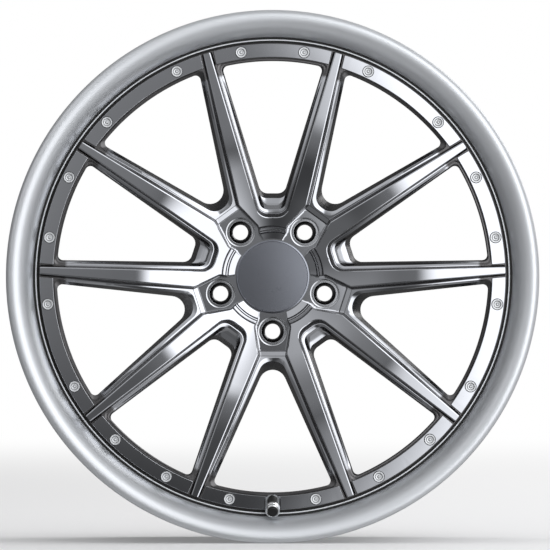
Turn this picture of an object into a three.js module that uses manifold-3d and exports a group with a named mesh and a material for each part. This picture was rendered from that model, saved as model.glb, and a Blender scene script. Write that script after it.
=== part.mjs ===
// A three-piece forged racing wheel: outer lip, inner barrel and a ten-spoke centre, bolted together
// by a ring of assembly bolts, with its hub cap, lug seats and tyre valve.
// Millimetres. The origin is the wheel's centre on the rim's centreline, the wheel turns about Y, its
// face looks along -Y, and the valve is at the bottom, at -Z.
import * as THREE from "three";
import { mergeVertices } from "three/addons/utils/BufferGeometryUtils.js";
import Module from "manifold-3d";

const wasm = await Module();
wasm.setup();

// ---------- driving dimensions ----------
const TURN_STEPS = 40; // facets of a large turned surface
const GAP = 0.3; // between touching pieces
const CUT_FRONT_Y = -120; // cutters for the centre start in front of its face
const CUT_REAR_Y = 0; // and end behind its pad

// rim, 20 x 9J
const FLANGE_R = 271.3; // outside of the tyre flange
const BEAD_R = 254; // bead seat
const HALF_WIDTH = 127; // overall, flange edge to centreline
const FLANGE_FACE_Y = 114.3; // inside face of the tyre flange, half of 9 inches
const LIP_INNER_R = 244.8; // inner surface of the lip beside the bolt band
const STEP_R = 241.6; // machined step in front of the bolt band
const JOINT_INNER_R = 220.6; // inner edge of the mounting flanges

// stack of the bolted joint, along Y, front to rear
const BAND_FRONT_Y = -93;
const BAND_REAR_Y = -83.3;
const LIP_JOINT_FRONT_Y = -83;
const LIP_JOINT_REAR_Y = -77;
const BARREL_JOINT_FRONT_Y = -76.7;
const BARREL_JOINT_REAR_Y = -71;

// assembly bolts
const BOLT_CIRCLE_R = 231;
const BOLT_FROM_V_AXIS = 8; // degrees either side of a V pair's axis
const BOLT_FROM_LUG_AXIS = 11; // degrees either side of a lug hole's axis
const BOLT_HEAD_R = 6;
const BOLT_SHANK_R = 3.2;
const BOLT_HOLE_R = 3.9;
const NUT_REAR_Y = -64;
const NUT_CORNER_R = 6.3;
const BOLT_BEYOND_NUT = 1.5;

// centre
const V_PAIRS = 5;
const PAIR_STEP = (2 * Math.PI) / V_PAIRS;
const BAND_OUTER_R = 238.4;
const BAND_INNER_R = 220.2;
const SPOKE_TIP_Y = -97;
const HUB_FACE_Y = -82;
const HUB_FACE_R = 52.6;
const LEDGE_DEPTH = 8.5; // the ledges' depth behind the spoke faces
const CHAMFER = 0.6; // on the band's outer edge
const PAD_Y = -38; // mounting pad, 38 mm offset
const PAD_R = 78;
const HUB_BORE_R = 33.3;
const CAP_RECESS_R = 38.2;
const CAP_SEAT_Y = -68.7;
const LUG_CIRCLE_R = 56; // 5 x 112
const LUG_FLOOR_Y = -62;
const LUG_POCKET_R = 18.4;
const LUG_POCKET_END = 77.2;
const LUG_POCKET_END_HALF = 12.6;
const SEAT_R = 15; // steel seat insert
const SEAT_BORE_R = 7.75;
const SEAT_REAR_Y = -50;
const PRESS_GAP = 0.2; // round the pressed-in seats

// valve
const VALVE_LEAN = THREE.MathUtils.degToRad(28);
const VALVE_BAND_R = 226.5; // where the leaning axis crosses the band's front
const VALVE_STRAIGHT_R = 226.9; // the stem's straight stretch, through the flanges
const VALVE_WALL_Y = -52; // where the stem goes through the barrel's wall
const STEM_R = 4;
const WALL_HOLE_R = 4.6;
const WALL_INNER_R = 238;
const WALL_OUTER_R = 243;
const SLOT_HALF = 5.2; // slot for the stem through the mounting flanges
const SLOT_LENGTH = 20;
const NOTCH_HALF = 7.3; // notch for the stem through the bolt band
const NOTCH_CORNER_R = 6;
const NOTCH_MIDDLE_R = VALVE_BAND_R + 3.2;
const NOTCH_REAR_Y = -60;

// ---------- materials ----------
const metal = (color, roughness) => new THREE.MeshStandardMaterial({ color, roughness, metalness: 1 });
const matt = (color, roughness) => new THREE.MeshStandardMaterial({ color, roughness, metalness: 0 });
const LIP_METAL = metal(0xd9dce0, 0.32);
const BARREL_METAL = metal(0xb9bcc0, 0.4);
const CENTRE_METAL = metal(0x9a9ca2, 0.12);
const BOLT_METAL = metal(0xc8cace, 0.35);
const NUT_METAL = metal(0xa5a7ab, 0.4);
const SEAT_METAL = metal(0xb4b6ba, 0.2);
const CAP_METAL = metal(0x6c6f75, 0.3);
const CHROME = metal(0xe4e6e8, 0.06);
const BRASS = metal(0xb79a55, 0.3);
const RUBBER = matt(0x141414, 0.7);
const BLACK_PLASTIC = matt(0x0c0c0c, 0.45);
const SEALANT = matt(0x9c9c98, 0.6);

// ---------- building blocks ----------
// A closed solid from a three.js geometry.
function solid(geometry) {
  const bare = geometry.index ? geometry.toNonIndexed() : geometry.clone();
  bare.deleteAttribute("normal");
  bare.deleteAttribute("uv");
  const merged = mergeVertices(bare, 1e-4);
  const triVerts = new Uint32Array(merged.index.array);
  const vertProperties = merged.attributes.position.array;
  const made = new wasm.Manifold(new wasm.Mesh({ numProp: 3, vertProperties, triVerts }));
  if (made.volume() > 0) return made;
  for (let i = 0; i < triVerts.length; i += 3) {
    [triVerts[i + 1], triVerts[i + 2]] = [triVerts[i + 2], triVerts[i + 1]];
  }
  return new wasm.Manifold(new wasm.Mesh({ numProp: 3, vertProperties, triVerts }));
}

// A solid of revolution about Y from [radius, y] corners, closed on itself or on the axis.
function turned(corners, steps = TURN_STEPS) {
  const profile = corners.map(([r, y]) => new THREE.Vector2(r, y));
  const onAxis = corners[0][0] === 0 && corners[corners.length - 1][0] === 0;
  if (!onAxis) profile.push(profile[0].clone());
  return solid(new THREE.LatheGeometry(profile, steps));
}

// A flat outline in the wheel's face plane (x, z), standing from rear to front along Y.
function prism(outline, frontY, rearY) {
  const shape = new THREE.Shape(outline.map(([x, z]) => new THREE.Vector2(x, z)));
  const geometry = new THREE.ExtrudeGeometry(shape, { depth: rearY - frontY, bevelEnabled: false });
  return solid(geometry.rotateX(Math.PI / 2).translate(0, rearY, 0));
}

// A round bar along Y.
function bar(radius, frontY, rearY, steps) {
  const geometry = new THREE.CylinderGeometry(radius, radius, rearY - frontY, steps);
  return solid(geometry.translate(0, (frontY + rearY) / 2, 0));
}

// An outline whose corners [x, z, radius] are rounded with arcs of a few points.
function rounded(corners, arcSteps = 4) {
  const points = [];
  corners.forEach(([x, z, radius = 0], i) => {
    const here = new THREE.Vector2(x, z);
    if (radius === 0) {
      points.push([x, z]);
      return;
    }
    const before = corners[(i + corners.length - 1) % corners.length];
    const after = corners[(i + 1) % corners.length];
    const back = new THREE.Vector2(before[0], before[1]).sub(here).normalize();
    const ahead = new THREE.Vector2(after[0], after[1]).sub(here).normalize();
    const half = back.angleTo(ahead) / 2;
    const middle = back.clone().add(ahead).normalize();
    const centre = here.clone().addScaledVector(middle, radius / Math.sin(half));
    const from = here.clone().addScaledVector(back, radius / Math.tan(half)).sub(centre);
    const to = here.clone().addScaledVector(ahead, radius / Math.tan(half)).sub(centre);
    const sweep = Math.atan2(from.cross(to), from.dot(to));
    for (let step = 0; step <= arcSteps; step++) {
      const spoke = from.clone().rotateAround(new THREE.Vector2(), (sweep * step) / arcSteps);
      points.push([centre.x + spoke.x, centre.y + spoke.y]);
    }
  });
  return points;
}

// An outline drawn about the +Z axis, mirrored to both sides of it.
function bothSides(rightSide) {
  const left = rightSide.filter(([x]) => x !== 0).map(([x, z, radius]) => [-x, z, radius]);
  return [...rightSide, ...left.reverse()];
}

// Copies of a solid about Y: one for each V pair, starting at an angle from straight up.
function aroundHub(part, startAngle = 0) {
  const copies = [];
  for (let pair = 0; pair < V_PAIRS; pair++) {
    const degrees = THREE.MathUtils.radToDeg(startAngle + pair * PAIR_STEP);
    copies.push(part.rotate([0, degrees, 0]));
  }
  return copies;
}

function mesh(name, made, material) {
  const { vertProperties, triVerts } = made.getMesh();
  const geometry = new THREE.BufferGeometry();
  geometry.setAttribute("position", new THREE.BufferAttribute(new Float32Array(vertProperties), 3));
  geometry.setIndex(new THREE.BufferAttribute(new Uint32Array(triVerts), 1));
  geometry.computeVertexNormals();
  const piece = new THREE.Mesh(geometry, material);
  piece.name = name;
  return piece;
}

const cutFrom = (body, cutters) => cutters.reduce((rest, cutter) => rest.subtract(cutter), body);
const wheel = new THREE.Group();

// ---------- the ring of assembly bolts ----------
// Angles from straight up, clockwise seen from the front.
const boltAngles = [];
for (let pair = 0; pair < V_PAIRS; pair++) {
  const axis = THREE.MathUtils.radToDeg(pair * PAIR_STEP);
  const lugAxis = axis + 180 / V_PAIRS;
  boltAngles.push(axis - BOLT_FROM_V_AXIS, axis + BOLT_FROM_V_AXIS);
  boltAngles.push(lugAxis - BOLT_FROM_LUG_AXIS, lugAxis + BOLT_FROM_LUG_AXIS);
}

function boltHoles(frontY, rearY) {
  const hole = bar(BOLT_HOLE_R, frontY - 1, rearY + 1, 8).translate([0, 0, BOLT_CIRCLE_R]);
  return boltAngles.map((degrees) => hole.rotate([0, degrees, 0]));
}

// ---------- valve axis ----------
// A solid turned about Y becomes one about the leaning stem: its y = 0 goes to the axis's crossing of the
// band's front face, and its +Y points forward and outward.
function onStem(part) {
  const degrees = 180 + THREE.MathUtils.radToDeg(VALVE_LEAN);
  return part.rotate([degrees, 0, 0]).translate([0, BAND_FRONT_Y, -VALVE_BAND_R]);
}

// A solid turned about Y becomes one about the radial line through the barrel's wall, +Y away from the hub.
function onWall(part) {
  return part.rotate([-90, 0, 0]).translate([0, VALVE_WALL_Y, 0]);
}

// A slot for the stem through a mounting flange, open towards the hub.
function stemSlot(frontY, rearY) {
  const inner = SLOT_LENGTH - VALVE_STRAIGHT_R;
  const outer = -SLOT_HALF - VALVE_STRAIGHT_R;
  const cornerR = SLOT_HALF - 0.2;
  const sides = [
    [SLOT_HALF, inner],
    [-SLOT_HALF, inner],
    [-SLOT_HALF, outer, cornerR],
    [SLOT_HALF, outer, cornerR],
  ];
  return prism(rounded(sides), frontY - 1, rearY + 1);
}

// ---------- outer lip ----------
function outerLip() {
  const profile = [
    [STEP_R, LIP_JOINT_FRONT_Y],
    [STEP_R, BAND_FRONT_Y + 0.5],
    [LIP_INNER_R, BAND_FRONT_Y - 2.5],
    [246.5, -103],
    [252, -115.5],
    [262, -125.6],
    [267.5, -HALF_WIDTH],
    [FLANGE_R, -125.2],
    [FLANGE_R, -121.5],
    [262, -FLANGE_FACE_Y],
    [BEAD_R, -110],
    [BEAD_R - 1.4, -94],
    [BEAD_R, -91],
    [247, LIP_JOINT_REAR_Y],
    [JOINT_INNER_R, LIP_JOINT_REAR_Y],
    [JOINT_INNER_R, LIP_JOINT_FRONT_Y],
  ];
  const ring = turned(profile);
  const holes = boltHoles(LIP_JOINT_FRONT_Y, LIP_JOINT_REAR_Y);
  return cutFrom(ring, [...holes, stemSlot(LIP_JOINT_FRONT_Y, LIP_JOINT_REAR_Y)]);
}
wheel.add(mesh("outer_lip", outerLip(), LIP_METAL));

// ---------- inner barrel ----------
function innerBarrel() {
  const inside = [
    [JOINT_INNER_R, BARREL_JOINT_FRONT_Y],
    [JOINT_INNER_R, BARREL_JOINT_REAR_Y],
    [WALL_INNER_R, BARREL_JOINT_REAR_Y],
    [WALL_INNER_R, -38],
    [227, -26],
    [227, 6],
    [243, 34],
    [247, 90],
    [253, 114],
    [263, 125],
    [268, HALF_WIDTH],
  ];
  const outside = [
    [FLANGE_R, 125.2],
    [FLANGE_R, 121.5],
    [262, FLANGE_FACE_Y],
    [BEAD_R, 110],
    [BEAD_R - 1.4, 94],
    [BEAD_R, 91],
    [250, 84],
    [248, 38],
    [232, 9],
    [232, -23],
    [WALL_OUTER_R, -36],
    [WALL_OUTER_R, BARREL_JOINT_FRONT_Y],
  ];
  const ring = turned([...inside, ...outside]);
  const wallHole = onWall(bar(WALL_HOLE_R, WALL_INNER_R - 6, WALL_OUTER_R + 6, 12));
  const holes = boltHoles(BARREL_JOINT_FRONT_Y, BARREL_JOINT_REAR_Y);
  const slot = stemSlot(BARREL_JOINT_FRONT_Y, BARREL_JOINT_REAR_Y);
  return cutFrom(ring, [...holes, slot, wallHole]);
}
wheel.add(mesh("inner_barrel", innerBarrel(), BARREL_METAL));

// ---------- sealant bead, in the outer corner of the joint ----------
const BEAD_CORNER_R = WALL_OUTER_R + GAP;
const BEAD_CORNER_Y = LIP_JOINT_REAR_Y + GAP;
const sealProfile = [
  [BEAD_CORNER_R, BEAD_CORNER_Y],
  [BEAD_CORNER_R + 3.4, BEAD_CORNER_Y],
  [BEAD_CORNER_R, BEAD_CORNER_Y + 4],
];
wheel.add(mesh("joint_seal", turned(sealProfile), SEALANT));

// ---------- centre ----------
// A wedge-shaped outline about the +Z axis, from its inner end out to a radius.
function wedge(apex, slope, innerEnd, innerRadius, outerR, outerRadius) {
  // the side line x = slope * (z - apex) meets the circle of outerR
  const slope2 = slope * slope;
  const root = Math.sqrt((1 + slope2) * outerR * outerR - slope2 * apex * apex);
  const cornerZ = (slope2 * apex + root) / (1 + slope2);
  const cornerX = slope * (cornerZ - apex);
  const middle = Math.atan2(cornerX, cornerZ) / 2;
  const side = [
    [slope * (innerEnd - apex), innerEnd, innerRadius],
    [cornerX, cornerZ, outerRadius],
    [outerR * Math.sin(middle), outerR * Math.cos(middle)],
    [0, outerR],
  ];
  return rounded(bothSides(side));
}

// Side lines x = slope * (z - apex), about the axis of a V pair or of a lug hole.
const V_SIDE_SLOPE = 0.298; // spoke faces, on the side of their V
const V_SIDE_APEX = 11.2;
const V_POCKET_END = 61.5;
const V_POCKET_R = 14;
const V_WINDOW_SLOPE = 0.309;
const V_WINDOW_APEX = 46.7;
const V_WINDOW_END = 85.2;
const LUG_SIDE_SLOPE = 0.4207; // spoke faces, on the side of a lug hole
const LUG_SIDE_APEX = 41.4;
const LUG_WINDOW_SLOPE = 0.449;
const LUG_WINDOW_APEX = 73.9;
const LUG_WINDOW_END = 92;
const WINDOW_INNER_R = 9; // rounding of the windows' inner corners
const WINDOW_OUTER_R = 5; // and of the ones at the band
const BEYOND = 300; // outside the wheel
const FACES_REAR_Y = -56; // the solid the spoke faces are cut from ends inside the ledges' solid
const POCKET_REAR_Y = -40;

// The spokes' front faces: a shallow dish that runs out flat towards the band.
const FACE_PROFILE = [
  [HUB_FACE_R, HUB_FACE_Y],
  [92, -91.1],
  [110, -94.2],
  [130, -96.1],
  [165, SPOKE_TIP_Y],
  [BAND_OUTER_R - CHAMFER, SPOKE_TIP_Y],
];

// The disc's upper level: the hub's face and the ten spoke faces.
function spokeFaces() {
  const front = [
    [CAP_RECESS_R, CAP_SEAT_Y - 1.5],
    ...FACE_PROFILE,
  ];
  const rear = [
    [BAND_OUTER_R - CHAMFER, -90],
    [BAND_INNER_R - 2, -88],
    [150, -72],
    [80, FACES_REAR_Y],
    [CAP_RECESS_R, FACES_REAR_Y],
  ];
  const vOutline = wedge(V_SIDE_APEX, V_SIDE_SLOPE, V_POCKET_END, V_POCKET_R, BEYOND, 0);
  const lugOutline = wedge(LUG_SIDE_APEX, LUG_SIDE_SLOPE, LUG_POCKET_END - 1, 0, BEYOND, 0);
  const vPocket = prism(vOutline, CUT_FRONT_Y, POCKET_REAR_Y);
  const lugSide = prism(lugOutline, CUT_FRONT_Y, POCKET_REAR_Y);
  return cutFrom(turned([...front, ...rear]), [
    ...aroundHub(vPocket),
    ...aroundHub(lugSide, PAIR_STEP / 2),
  ]);
}

function centreDisc() {
  const ledges = turned([
    [HUB_BORE_R, HUB_FACE_Y + LEDGE_DEPTH],
    [HUB_FACE_R, HUB_FACE_Y + LEDGE_DEPTH],
    ...FACE_PROFILE.slice(1, 5).map(([r, y]) => [r, y + LEDGE_DEPTH]),
    [BAND_INNER_R - 4, SPOKE_TIP_Y + LEDGE_DEPTH],
    [BAND_INNER_R + 0.8, BAND_FRONT_Y],
    [BAND_OUTER_R - CHAMFER, BAND_FRONT_Y],
    [BAND_OUTER_R, BAND_FRONT_Y + CHAMFER],
    [BAND_OUTER_R, BAND_REAR_Y],
    [BAND_INNER_R - 2, BAND_REAR_Y],
    [205, -81],
    [150, -67],
    [98, -51],
    [84, -43],
    [PAD_R, PAD_Y],
    [HUB_BORE_R, PAD_Y],
  ]);

  const window = (apex, slope, end) => {
    const outline = wedge(apex, slope, end, WINDOW_INNER_R, BAND_INNER_R, WINDOW_OUTER_R);
    return prism(outline, CUT_FRONT_Y, CUT_REAR_Y);
  };
  const vWindow = window(V_WINDOW_APEX, V_WINDOW_SLOPE, V_WINDOW_END);
  const lugWindow = window(LUG_WINDOW_APEX, LUG_WINDOW_SLOPE, LUG_WINDOW_END);

  const lugBar = (radius, frontY, rearY, steps) => {
    return bar(radius, frontY, rearY, steps).translate([0, 0, LUG_CIRCLE_R]);
  };
  const lugPocketSide = [
    [LUG_POCKET_R - 1.6, LUG_CIRCLE_R],
    [LUG_POCKET_R - 1.6, LUG_CIRCLE_R + 4],
    [LUG_POCKET_END_HALF, LUG_POCKET_END],
  ];
  const lugPocketEnd = prism(bothSides(lugPocketSide), CUT_FRONT_Y, LUG_FLOOR_Y);
  const lugPocket = lugPocketEnd.add(lugBar(LUG_POCKET_R, CUT_FRONT_Y, LUG_FLOOR_Y, 20));
  const seatHole = lugBar(SEAT_R + GAP + PRESS_GAP, LUG_FLOOR_Y - 1, SEAT_REAR_Y + GAP, 16);
  const studHole = lugBar(SEAT_BORE_R + PRESS_GAP, LUG_FLOOR_Y - 8, CUT_REAR_Y, 16);

  const capRecess = bar(CAP_RECESS_R, CUT_FRONT_Y, CAP_SEAT_Y, 32);
  const hubBore = bar(HUB_BORE_R, CUT_FRONT_Y, CUT_REAR_Y, 32);

  const notchEnd = NOTCH_HALF - NOTCH_MIDDLE_R;
  const notchOutline = rounded([
    [NOTCH_HALF, notchEnd, NOTCH_CORNER_R],
    [-NOTCH_HALF, notchEnd, NOTCH_CORNER_R],
    [-NOTCH_HALF, -BEYOND],
    [NOTCH_HALF, -BEYOND],
  ]);
  const notch = prism(notchOutline, CUT_FRONT_Y, NOTCH_REAR_Y);
  return cutFrom(spokeFaces().add(ledges), [
    ...aroundHub(vWindow),
    ...aroundHub(lugWindow, PAIR_STEP / 2),
    ...aroundHub(lugPocket, PAIR_STEP / 2),
    ...aroundHub(seatHole, PAIR_STEP / 2),
    ...aroundHub(studHole, PAIR_STEP / 2),
    ...boltHoles(SPOKE_TIP_Y - 13, BARREL_JOINT_REAR_Y + 1),
    capRecess,
    hubBore,
    notch,
  ]);
}
wheel.add(mesh("centre_disc", centreDisc(), CENTRE_METAL));

// ---------- steel seats in the lug holes ----------
const seat = turned(
  [
    [11.2, LUG_FLOOR_Y - 0.6],
    [SEAT_R, LUG_FLOOR_Y - 0.6],
    [SEAT_R, SEAT_REAR_Y],
    [SEAT_BORE_R, SEAT_REAR_Y],
    [SEAT_BORE_R, LUG_FLOOR_Y + 5.5],
  ],
  16,
).translate([0, 0, LUG_CIRCLE_R]);
aroundHub(seat, PAIR_STEP / 2).forEach((made, i) => {
  wheel.add(mesh(`lug_seat_${i + 1}`, made, SEAT_METAL));
});

// ---------- hub cap and its spring ring ----------
const CAP_FACE_Y = -72.2;
const CAP_INSIDE_Y = -69.4;
const CAP_RIM_R = 37.6;
const CAP_SKIRT_R = 32.2;
const CAP_SKIRT_INNER_R = 29.8;
const CAP_SKIRT_END_Y = -53;
const SPRING_FRONT_Y = -61;
const SPRING_WIRE = 1.8;
const SPRING_OUTER_R = CAP_SKIRT_INNER_R - 0.4;
const capProfile = [
  [0, CAP_FACE_Y],
  [34, CAP_FACE_Y + 0.4],
  [CAP_RIM_R, CAP_FACE_Y + 1.4],
  [CAP_RIM_R, CAP_SEAT_Y - GAP],
  [CAP_SKIRT_R, CAP_SEAT_Y - GAP],
  [CAP_SKIRT_R, CAP_SKIRT_END_Y],
  [CAP_SKIRT_INNER_R, CAP_SKIRT_END_Y],
  [CAP_SKIRT_INNER_R, CAP_INSIDE_Y],
  [0, CAP_INSIDE_Y],
];
wheel.add(mesh("centre_cap", turned(capProfile, 32), CAP_METAL));
const springProfile = [
  [SPRING_OUTER_R - SPRING_WIRE, SPRING_FRONT_Y],
  [SPRING_OUTER_R, SPRING_FRONT_Y],
  [SPRING_OUTER_R, SPRING_FRONT_Y + SPRING_WIRE],
  [SPRING_OUTER_R - SPRING_WIRE, SPRING_FRONT_Y + SPRING_WIRE],
];
wheel.add(mesh("cap_spring_ring", turned(springProfile, 24), NUT_METAL));

// ---------- assembly bolts and nuts ----------
const HEAD_TOP_Y = BAND_FRONT_Y - 4.6;
const SHANK_END_Y = NUT_REAR_Y + BOLT_BEYOND_NUT;
const bolt = turned(
  [
    [0, HEAD_TOP_Y],
    [BOLT_HEAD_R - 1.1, HEAD_TOP_Y],
    [BOLT_HEAD_R, HEAD_TOP_Y + 1.2],
    [BOLT_HEAD_R, BAND_FRONT_Y - GAP],
    [BOLT_SHANK_R, BAND_FRONT_Y - GAP],
    [BOLT_SHANK_R, SHANK_END_Y],
    [0, SHANK_END_Y],
  ],
  8,
).translate([0, 0, BOLT_CIRCLE_R]);
const hexagon = [];
for (let corner = 0; corner < 6; corner++) {
  const angle = (corner * Math.PI) / 3;
  hexagon.push([NUT_CORNER_R * Math.cos(angle), NUT_CORNER_R * Math.sin(angle)]);
}
const nutFrontY = BARREL_JOINT_REAR_Y + GAP;
const nutHole = bar(BOLT_HOLE_R, nutFrontY - 1, NUT_REAR_Y + 1, 16);
const nut = prism(hexagon, nutFrontY, NUT_REAR_Y).subtract(nutHole).translate([0, 0, BOLT_CIRCLE_R]);
boltAngles.forEach((degrees, i) => {
  const number = String(i + 1).padStart(2, "0");
  wheel.add(mesh(`lip_bolt_${number}`, bolt.rotate([0, degrees, 0]), BOLT_METAL));
  wheel.add(mesh(`lip_nut_${number}`, nut.rotate([0, degrees, 0]), NUT_METAL));
});

// ---------- valve ----------
// Along the leaning axis, distances are from the band's front face, forward positive.
const STEM_END = 24;
const CORE_BORE_R = 2.7;
const CORE_BORE_START = 9;
const CORE_R = CORE_BORE_R - 0.35;
const CORE_INNER_R = 1.1;
const PIN_R = 0.75;
const AIR_WAY_R = 1.5;
const STEM_STEPS = 18;
const ELBOW = 6.8; // how far the bends reach along the stem either side of their corners
const KNEE = 4.6;

// The stem's centreline: in from the tyre's side, forward through the flanges, then leaning outward at
// the front.
function stemPath(radialStart, forwardEnd) {
  const at = (r, y) => new THREE.Vector3(0, y, -r);
  const leaning = (s) => {
    return at(VALVE_BAND_R + Math.sin(VALVE_LEAN) * s, BAND_FRONT_Y - Math.cos(VALVE_LEAN) * s);
  };
  const kneeAt = (VALVE_STRAIGHT_R - VALVE_BAND_R) / Math.sin(VALVE_LEAN);
  const kneeCorner = leaning(kneeAt);
  const elbowStart = at(VALVE_STRAIGHT_R + ELBOW, VALVE_WALL_Y);
  const elbowCorner = at(VALVE_STRAIGHT_R, VALVE_WALL_Y);
  const elbowEnd = at(VALVE_STRAIGHT_R, VALVE_WALL_Y - ELBOW);
  const kneeStart = at(VALVE_STRAIGHT_R, kneeCorner.y + KNEE);
  const kneeEnd = leaning(kneeAt + KNEE);
  const path = new THREE.CurvePath();
  path.add(new THREE.LineCurve3(at(radialStart, VALVE_WALL_Y), elbowStart));
  path.add(new THREE.QuadraticBezierCurve3(elbowStart, elbowCorner, elbowEnd));
  path.add(new THREE.LineCurve3(elbowEnd, kneeStart));
  path.add(new THREE.QuadraticBezierCurve3(kneeStart, kneeCorner, kneeEnd));
  path.add(new THREE.LineCurve3(kneeEnd, leaning(forwardEnd)));
  return path;
}

function alongStem(radius, radialStart, forwardEnd, sides) {
  const round = new THREE.Shape();
  round.absarc(0, 0, radius, 0, 2 * Math.PI, false);
  const extrudePath = stemPath(radialStart, forwardEnd);
  const settings = { steps: STEM_STEPS, bevelEnabled: false, extrudePath, curveSegments: sides };
  return solid(new THREE.ExtrudeGeometry(round, settings));
}

const HEAD_R = 7.5; // the stem's head, on the tyre's side of the wall
const SEAL_START = WALL_OUTER_R + GAP;
const HEAD_START = SEAL_START + 2.4;
const stemHead = onWall(bar(HEAD_R, HEAD_START, HEAD_START + 3, 16));
const stemBody = alongStem(STEM_R, HEAD_START + 1, STEM_END, 5).add(stemHead);
const airWay = alongStem(AIR_WAY_R, HEAD_START + 5, STEM_END - 2, 3);
const coreBore = onStem(bar(CORE_BORE_R, CORE_BORE_START, STEM_END + 2, 10));
wheel.add(mesh("valve_stem", stemBody.subtract(airWay).subtract(coreBore), CHROME));

// A plain ring or rod about Y.
function ring(innerR, outerR, from, to, steps) {
  const corners = [
    [innerR, from],
    [outerR, from],
    [outerR, to],
    [innerR, to],
  ];
  return turned(corners, steps);
}
const STEM_HOLE_R = STEM_R + GAP; // in the pieces round the stem
const valveSeal = ring(STEM_HOLE_R, HEAD_R, SEAL_START, HEAD_START - GAP, 16);
wheel.add(mesh("valve_seal", onWall(valveSeal), RUBBER));
const VALVE_NUT_R = 6;
const VALVE_NUT_START = 233.8;
const valveNut = ring(STEM_HOLE_R, VALVE_NUT_R, VALVE_NUT_START, WALL_INNER_R - 0.8, 12);
wheel.add(mesh("valve_nut", onWall(valveNut), NUT_METAL));

const BUSH_R = 5.3;
const BUSH_START = 2.5;
const BUSH_END = 18.2;
const bush = ring(STEM_HOLE_R, BUSH_R, BUSH_START, BUSH_END, 12);
wheel.add(mesh("valve_bush", onStem(bush), RUBBER));

const SLEEVE_R = 7.4;
const SLEEVE_END = 27;
const CAP_R = 5.3;
const CAP_START = 20.4;
const CAP_END = 28.3;
const CAP_ROOF = 2.8; // thickness of the dust cap's end
const SLEEVE_BORE_R = CAP_R + 0.4;
const sleeve = turned(
  [
    [STEM_HOLE_R, BUSH_END + GAP],
    [SLEEVE_R - 0.6, BUSH_END + GAP],
    [SLEEVE_R, BUSH_END + 1.2],
    [SLEEVE_R, SLEEVE_END - 1],
    [SLEEVE_R - 0.7, SLEEVE_END],
    [SLEEVE_BORE_R, SLEEVE_END],
    [SLEEVE_BORE_R, CAP_START - GAP],
    [STEM_HOLE_R, CAP_START - GAP],
  ],
  16,
);
wheel.add(mesh("valve_sleeve", onStem(sleeve), CHROME));

const core = ring(CORE_INNER_R, CORE_R, CORE_BORE_START + 1, STEM_END - 0.8, 10);
wheel.add(mesh("valve_core", onStem(core), BRASS));
const pin = turned(
  [
    [0, CORE_BORE_START + 4],
    [PIN_R, CORE_BORE_START + 4],
    [PIN_R, STEM_END - 0.3],
    [0, STEM_END - 0.1],
  ],
  8,
);
wheel.add(mesh("valve_pin", onStem(pin), BRASS));

const CAP_ROOF_START = CAP_END - CAP_ROOF;
const dustCap = turned(
  [
    [STEM_HOLE_R, CAP_START],
    [CAP_R, CAP_START],
    [CAP_R, CAP_END - 1],
    [CAP_R - 0.8, CAP_END],
    [0, CAP_END],
    [0, CAP_ROOF_START],
    [STEM_HOLE_R, CAP_ROOF_START],
  ],
  12,
);
wheel.add(mesh("valve_cap", onStem(dustCap), BLACK_PLASTIC));
const SEAL_GAP = 0.2;
const capSeal = ring(0, STEM_R - 0.4, STEM_END + SEAL_GAP, CAP_ROOF_START - SEAL_GAP, 10);
wheel.add(mesh("valve_cap_seal", onStem(capSeal), RUBBER));

export default wheel;
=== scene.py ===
"""A three-piece forged racing wheel, standing upright on a pale studio floor.

Sizes are in millimetres up to the moment a mesh is made, and metres after it. The wheel turns about Y, its
face looks along -Y, and the valve is at the bottom. Plan views are complex numbers: x + 1j * z.
"""

import cmath
import math

import bmesh
import bpy
import numpy as np
from mathutils import Matrix, Vector
from mathutils.geometry import delaunay_2d_cdt


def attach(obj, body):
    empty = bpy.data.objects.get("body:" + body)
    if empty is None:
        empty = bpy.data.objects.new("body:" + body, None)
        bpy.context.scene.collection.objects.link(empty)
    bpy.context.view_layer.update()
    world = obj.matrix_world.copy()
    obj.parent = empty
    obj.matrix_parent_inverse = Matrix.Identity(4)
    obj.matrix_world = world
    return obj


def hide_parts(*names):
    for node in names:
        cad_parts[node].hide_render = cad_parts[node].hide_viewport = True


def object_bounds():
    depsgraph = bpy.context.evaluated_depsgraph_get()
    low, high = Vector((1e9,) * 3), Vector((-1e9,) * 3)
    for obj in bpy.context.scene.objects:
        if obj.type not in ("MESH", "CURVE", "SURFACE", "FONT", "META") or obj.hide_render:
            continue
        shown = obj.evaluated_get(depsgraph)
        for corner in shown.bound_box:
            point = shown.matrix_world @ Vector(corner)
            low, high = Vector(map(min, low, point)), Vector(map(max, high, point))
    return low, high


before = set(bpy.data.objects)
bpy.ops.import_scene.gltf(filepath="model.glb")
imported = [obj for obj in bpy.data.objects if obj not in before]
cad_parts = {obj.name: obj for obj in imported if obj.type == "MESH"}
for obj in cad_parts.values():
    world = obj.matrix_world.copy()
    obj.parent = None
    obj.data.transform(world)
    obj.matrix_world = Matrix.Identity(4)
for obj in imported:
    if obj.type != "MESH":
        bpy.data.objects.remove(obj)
cad_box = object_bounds()

MM = 0.001
flange_r = cad_box[1][0] / MM
front_y = cad_box[0][1] / MM
rear_y = cad_box[1][1] / MM

# ---------- driving dimensions, millimetres ----------
ARC_STEPS = 6  # cuts of a rounded corner
TURN_STEPS = 288  # cuts round a large turned surface
ON_AXIS = 1e-6
PAIRS = 5
HALF = math.pi / PAIRS  # from a V axis to its neighbouring lug axis

# bolted joint
BAND_Y = -93
BAND_REAR_Y = -83.3
FLOOR_Y = -88.5  # the band's lower level, round the pads
BAND_R = 238.4
PAD_INNER_R = 224.4
PAD_OUTER_R = 237.4
BOLT_CIRCLE_R = 231
BOLT_ANGLES = (math.radians(8), HALF - math.radians(11))  # within a half sector, from its V axis
BOLT_HOLE_R = 3.9
WINDOW_R = 220.1

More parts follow.
